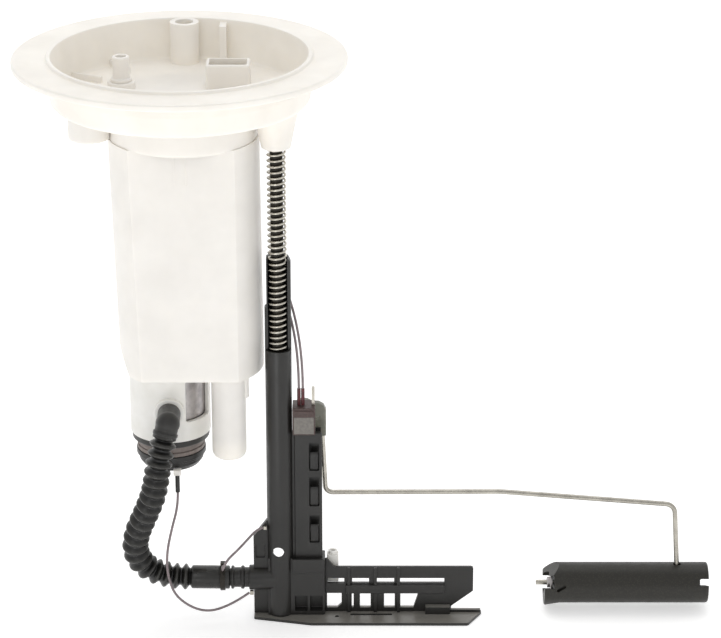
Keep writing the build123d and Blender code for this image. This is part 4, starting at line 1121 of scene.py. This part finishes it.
class PumpModuleSettings(bpy.types.PropertyGroup):
    """Sizes and colours that change the looks without moving anything."""

    hose_diameter: bpy.props.FloatProperty(
        name="Hose over its ribs", description="Outside diameter of the suction hose's ribs",
        default=12.8 * MM, min=0.01, max=0.014, precision=4, unit="LENGTH")
    hose_root: bpy.props.FloatProperty(
        name="Hose between its ribs", description="Diameter of the suction hose in its grooves",
        default=8.4 * MM, min=0.008, max=0.012, precision=4, unit="LENGTH")
    rib_pitch: bpy.props.FloatProperty(
        name="Rib pitch", description="Distance from one rib of the suction hose to the next",
        default=4.6 * MM, min=0.002, max=0.006, precision=4, unit="LENGTH")
    rib_stretch: bpy.props.FloatProperty(
        name="Rib stretch", description="How much further apart the ribs stand in the middle of the hose",
        default=1.5 * MM, min=0.0, max=0.003, precision=4, unit="LENGTH")
    spring_diameter: bpy.props.FloatProperty(
        name="Spring diameter", description="Outside diameter of the guide's spring",
        default=9.2 * MM, min=0.008, max=0.0096, precision=4, unit="LENGTH")
    spring_wire: bpy.props.FloatProperty(
        name="Spring wire", description="Diameter of the spring's wire",
        default=1.1 * MM, min=0.0008, max=0.0014, precision=4, unit="LENGTH")
    spring_coils: bpy.props.IntProperty(
        name="Spring coils", description="Number of coils, closed ones included", default=41, min=20, max=60)
    lead_diameter: bpy.props.FloatProperty(
        name="Lead diameter", description="Outside diameter of the wire insulation",
        default=1.2 * MM, min=0.001, max=0.0016, precision=4, unit="LENGTH")
    white_colour: bpy.props.FloatVectorProperty(
        name="White plastic", description="Colour of the flange and the canister", subtype="COLOR", size=3,
        default=linear("#F8F3EB")[:3], min=0.0, max=1.0)
    black_colour: bpy.props.FloatVectorProperty(
        name="Black plastic", description="Colour of the guide and the foot", subtype="COLOR", size=3,
        default=linear("#232220")[:3], min=0.0, max=1.0)
    rubber_colour: bpy.props.FloatVectorProperty(
        name="Rubber", description="Colour of the hose and the elbow", subtype="COLOR", size=3,
        default=linear("#262522")[:3], min=0.0, max=1.0)
    foam_colour: bpy.props.FloatVectorProperty(
        name="Float foam", description="Colour of the float", subtype="COLOR", size=3,
        default=linear("#2C2A23")[:3], min=0.0, max=1.0)
    lead_colour: bpy.props.FloatVectorProperty(
        name="Leads", description="Colour of the wire insulation", subtype="COLOR", size=3,
        default=linear("#8C8082")[:3], min=0.0, max=1.0)
    floor_colour: bpy.props.FloatVectorProperty(
        name="Floor", description="Colour of the paper under and behind the module", subtype="COLOR", size=3,
        default=linear("#F8F8F8")[:3], min=0.0, max=1.0)


# ---------------------------------------------------------------- operators

class PUMP_OT_flange(bpy.types.Operator):
    """Flange with its cup, skirt, rod boss and connector box"""
    bl_idname = "pump_module.flange"
    bl_label = "Flange"

    def execute(self, context):
        finish(make_flange(), white_acetal(), "white_plastic", "flange_unit", "flange")
        finish(make_outlet(), white_acetal(), "white_plastic", "flange_unit", "outlet_nipple")
        finish(make_vent(), white_acetal(), "white_plastic", "flange_unit", "vent_housing")
        return {"FINISHED"}


class PUMP_OT_canister(bpy.types.Operator):
    """Filter canister and the regulator's tube"""
    bl_idname = "pump_module.canister"
    bl_label = "Canister"

    def execute(self, context):
        finish(make_canister(), white_acetal(), "white_plastic", "flange_unit", "filter_canister")
        finish(make_regulator(), white_acetal(), "white_plastic", "flange_unit", "regulator_housing")
        return {"FINISHED"}


class PUMP_OT_pump(bpy.types.Operator):
    """Pump in its holder, with the isolator, inlet cover and end cap"""
    bl_idname = "pump_module.pump"
    bl_label = "Pump"

    def execute(self, context):
        finish(make_holder(), milky_nylon(), "milky_plastic", "flange_unit", "pump_holder")
        finish(make_pump(), zinc_plate(), "plated_steel", "flange_unit", "fuel_pump")
        finish(make_isolator(), nitrile_rubber(), "black_rubber", "flange_unit", "pump_isolator")
        finish(make_inlet_cover(), grey_nylon(), "grey_plastic", "flange_unit", "inlet_cover")
        finish(make_end_cap(), black_acetal(), "black_plastic", "flange_unit", "pump_end_cap")
        return {"FINISHED"}


class PUMP_OT_guide(bpy.types.Operator):
    """Guide rod and the spring round it"""
    bl_idname = "pump_module.guide"
    bl_label = "Guide rod and spring"

    def execute(self, context):
        rod = lathe("guide_rod_body", soft([
            (0, ROD_LOW.z), (3.0, ROD_LOW.z, 1.0), (3.0, ROD_HIGH.z, 0.5), (0, ROD_HIGH.z)]),
            (ROD_X, ROD_Y, 0), steps=64)
        finish(rod, phosphated_steel(), "dark_steel", "flange_unit", "guide_rod")
        spring = make_spring(kit())
        shade(spring, spring_wire(), 60)
        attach(spring, "flange_unit")
        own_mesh(spring)
        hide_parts("guide_spring")
        return {"FINISHED"}


class PUMP_OT_carrier(bpy.types.Operator):
    """Sliding guide carrier with its latch column and hose block"""
    bl_idname = "pump_module.carrier"
    bl_label = "Carrier"

    def execute(self, context):
        finish(healed(make_carrier()), black_acetal(), "black_plastic", "carrier", "guide_carrier")
        return {"FINISHED"}


class PUMP_OT_foot(bpy.types.Operator):
    """Foot bracket and the jet nozzle behind it"""
    bl_idname = "pump_module.foot"
    bl_label = "Foot"

    def execute(self, context):
        finish(make_foot(), painted_top_light_acetal(), "black_plastic", "carrier", "foot_bracket")
        finish(make_jet(), milky_nylon(), "milky_plastic", "carrier", "jet_nozzle")
        return {"FINISHED"}


class PUMP_OT_sensor(bpy.types.Operator):
    """Level sensor's housing, with the holes for its posts"""
    bl_idname = "pump_module.sensor"
    bl_label = "Level sensor"

    def execute(self, context):
        finish(make_sensor(), brown_phenolic(), "brown_plastic", "carrier", "sensor_housing")
        return {"FINISHED"}


class PUMP_OT_float_arm(bpy.types.Operator):
    """Float, its bent wire, the holder and the push-on nut"""
    bl_idname = "pump_module.float_arm"
    bl_label = "Float arm"

    def execute(self, context):
        arm_z = PIVOT.z - 43.6
        path = bent([(64.2, PIVOT.z + 1.8), (66.3, arm_z), (151.0, arm_z + 0.3), (236.1, arm_z - 6.7),
                     (238.9, FLOAT_Z), (169.4, FLOAT_Z)], [3.6, 60.0, 5.0, 4.0])
        wire = wire_piece("float_wire_body", path, 2.4, sides=6)
        finish(wire, stainless_rod(), "steel", "float_arm", "float_wire", smooth=60)
        finish(healed(make_arm_holder(path)), green_acetal(), "green_plastic", "float_arm", "arm_holder")
        finish(make_float(), float_foam(), "float_foam", "float_arm", "float")
        finish(make_push_nut(), zinc_plate(), "plated_steel", "float_arm", "push_nut")
        return {"FINISHED"}


class PUMP_OT_hose(bpy.types.Operator):
    """Ribbed suction hose and the elbow it hangs from"""
    bl_idname = "pump_module.hose"
    bl_label = "Suction hose"

    def execute(self, context):
        finish(make_elbow(), nitrile_rubber(), "black_rubber", "flange_unit", "inlet_elbow")
        clip = ring("hose_clip_body", 6.5, 5.85, -1.2, 1.2, edge=0.15, steps=64)
        clip.rotation_euler = (0, math.pi / 2, 0)
        clip.location = Vector((16.2, ROD_Y, HOSE_Z)) * MM
        bpy.ops.object.select_all(action="DESELECT")
        clip.select_set(True)
        bpy.context.view_layer.objects.active = clip
        bpy.ops.object.transform_apply(location=True, rotation=True, scale=True)
        joined(clip, round_edges(brick("lug", 15.0, 17.4, ROD_Y - 1.6, ROD_Y + 1.6, HOSE_Z + 6.0, HOSE_Z + 8.1), 0.25))
        finish(clip, phosphated_steel(), "dark_steel", "carrier", "hose_clip")
        make_hose(kit(), hose_rubber())
        return {"FINISHED"}


class PUMP_OT_leads(bpy.types.Operator):
    """Earth lead, jumper and the level sensor's two leads"""
    bl_idname = "pump_module.leads"
    bl_label = "Leads"

    def execute(self, context):
        diameter = kit().lead_diameter / MM
        skin = lead_skin()
        crimp = ring("crimp_sleeve_body", 1.1, 0.62, -209.4, -200.4, -4.5, -18.0, edge=0.15, steps=40)
        finish(crimp, black_acetal(), "black_plastic", "flange_unit", "crimp_sleeve")
        low = up(110.2)
        sleeves = ring("terminal_sleeves_body", 0.85, 0.5, low, low + 8.4, 53.9, -12.0, edge=0.1, steps=32)
        joined(sleeves, ring("sleeve", 0.85, 0.5, low, low + 8.4, 55.8, -12.0, edge=0.1, steps=32))
        finish(sleeves, red_sleeve(), "red_sleeve", "carrier", "terminal_sleeves")
        lead("ground_lead_body", GROUND_ROUTE, diameter, skin, "lead_insulation", "ground_lead",
             blend=((-8, -22, -212), (-3, -21, -262)), far_end="connector", stiffness="medium", lay="hanging",
             with_pieces=("crimp_sleeve_body", "lead_tab"))
        lead("jumper_lead_body", JUMPER_ROUTE, diameter, skin, "lead_insulation", "jumper_lead",
             body="carrier", far_end="fitting", stiffness="limp", lay="loose",
             with_pieces=("jumper_tab", "hose_clip_body"))
        for k, letter in enumerate("ab"):
            lead("sensor_lead_%s_body" % letter, sensor_route(k), diameter, skin, "lead_insulation",
                 "sensor_lead_" + letter, blend=((ROD_X, 0, -30), (ROD_X, 0, -150)), far_end="connector",
                 stiffness="medium", lay="hanging", with_pieces=("terminal_sleeves_body",))
        return {"FINISHED"}


class PUMP_OT_finishes(bpy.types.Operator):
    """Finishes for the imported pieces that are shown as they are"""
    bl_idname = "pump_module.finishes"
    bl_label = "Finishes"

    def execute(self, context):
        for material, nodes in (
                (white_acetal(), ("vent_float", "ground_clip")),
                (grey_nylon(), ("filter_upper_cap", "filter_lower_cap", "guide_bushing", "foot_strainer")),
                (black_acetal(), ("pump_top",)),
                (nitrile_rubber(), ("regulator_seal",)),
                (stainless_rod(), ("rod_stop_ring", "terminal_posts", "terminal_blade", "lead_tab", "jumper_tab")),
                (zinc_plate(), ("pressure_regulator",)),
                (brass(), ("connector_pins", "check_valve", "wiper")),
                (filter_paper(), ("filter_element",)),
                (ceramic_card(), ("sensor_card",))):
            for node in nodes:
                dress(node, material)
        return {"FINISHED"}


class PUMP_OT_stage(bpy.types.Operator):
    """Paper floor and backdrop, soft lamps and the camera"""
    bl_idname = "pump_module.stage"
    bl_label = "Stage"

    def execute(self, context):
        floor_z, back_y, sweep, width = FOOT_Z - 1.62, 3500.0, 800.0, 24000.0
        curve = [(back_y - sweep + sweep * math.sin(a), floor_z + sweep - sweep * math.cos(a))
                 for a in (math.pi / 2 * k / 16 for k in range(17))]
        points = [(-width / 2, y, z) for y, z in [(-12000.0, floor_z), *curve, (back_y, 4000.0)]]
        floor = chain("paper", points, closed=False)
        bpy.ops.mesh.select_all(action="SELECT")
        bpy.ops.mesh.extrude_edges_move(TRANSFORM_OT_translate={"value": Vector((width, 0, 0)) * MM})
        tidy()
        bpy.ops.object.shade_smooth()
        floor.data.materials.append(seamless_paper())
        for name, place, size, watts in (("front", (-0.35, -1.6, 1.0), (0.5, 1.0), 2.2),
                                         ("side", (1.3, -0.9, 0.5), (0.8, 0.8), 0.4),
                                         ("top", (0.05, 0.4, 1.3), (1.0, 1.0), 4.0)):
            lamp = bpy.data.lights.new(name, "AREA")
            lamp.shape = "RECTANGLE"
            lamp.size, lamp.size_y = size
            lamp.energy = watts
            lamp_object = bpy.data.objects.new(name, lamp)
            lamp_object.location = place
            lamp_object.rotation_euler = (Vector((0.05, 0, -0.12)) - Vector(place)).to_track_quat("-Z", "Y").to_euler()
            context.scene.collection.objects.link(lamp_object)
        strip = bpy.data.lights.new("strip", "AREA")
        strip.shape, strip.size, strip.size_y, strip.energy = "RECTANGLE", 0.09, 0.5, 0.4
        strip_object = bpy.data.objects.new("strip", strip)
        strip_object.location = (-0.077, -0.453, (floor_z + 3.0) * MM)
        strip_object.rotation_euler = (math.pi, 0, math.radians(-15.7))
        context.scene.collection.objects.link(strip_object)
        world = bpy.data.worlds.new("soft_room")
        world.use_nodes = True
        world.node_tree.nodes["Background"].inputs["Color"].default_value = (1, 1, 1, 1)
        world.node_tree.nodes["Background"].inputs["Strength"].default_value = 0.68
        context.scene.world = world
        context.scene.view_settings.view_transform = "Standard"
        camera = bpy.data.cameras.new("camera")
        camera.sensor_width = 36.0
        camera.lens = 149.8
        camera.clip_end = 30.0
        camera_object = bpy.data.objects.new("camera", camera)
        camera_object.location = (0.08326, -1.32840, 0.39600)
        camera_object.rotation_euler = (math.radians(68.5), 0, 0)
        context.scene.collection.objects.link(camera_object)
        context.scene.camera = camera_object
        return {"FINISHED"}


OPERATORS = (PUMP_OT_stage, PUMP_OT_hose, PUMP_OT_leads, PUMP_OT_flange, PUMP_OT_canister, PUMP_OT_pump,
             PUMP_OT_guide, PUMP_OT_carrier, PUMP_OT_foot, PUMP_OT_sensor, PUMP_OT_float_arm, PUMP_OT_finishes)


class PUMP_PT_panel(bpy.types.Panel):
    """Settings and buttons in the 3D view's sidebar"""
    bl_idname = "PUMP_PT_panel"
    bl_label = "Fuel pump module"
    bl_space_type = "VIEW_3D"
    bl_region_type = "UI"
    bl_category = "Pump module"

    def draw(self, context):
        for name in PumpModuleSettings.__annotations__:
            self.layout.prop(context.scene.pump_module, name)
        for operator in OPERATORS:
            self.layout.operator(operator.bl_idname)


CLASSES = (PumpModuleSettings, *OPERATORS, PUMP_PT_panel)


def register():
    for cls in CLASSES:
        bpy.utils.register_class(cls)
    bpy.types.Scene.pump_module = bpy.props.PointerProperty(type=PumpModuleSettings)


def unregister():
    del bpy.types.Scene.pump_module
    for cls in reversed(CLASSES):
        bpy.utils.unregister_class(cls)


def main():
    register()
    for operator in OPERATORS:
        group, name = operator.bl_idname.split(".")
        if getattr(getattr(bpy.ops, group), name)() != {"FINISHED"}:
            raise RuntimeError("%s did not finish" % operator.bl_idname)


if __name__ == "__main__":
    main()
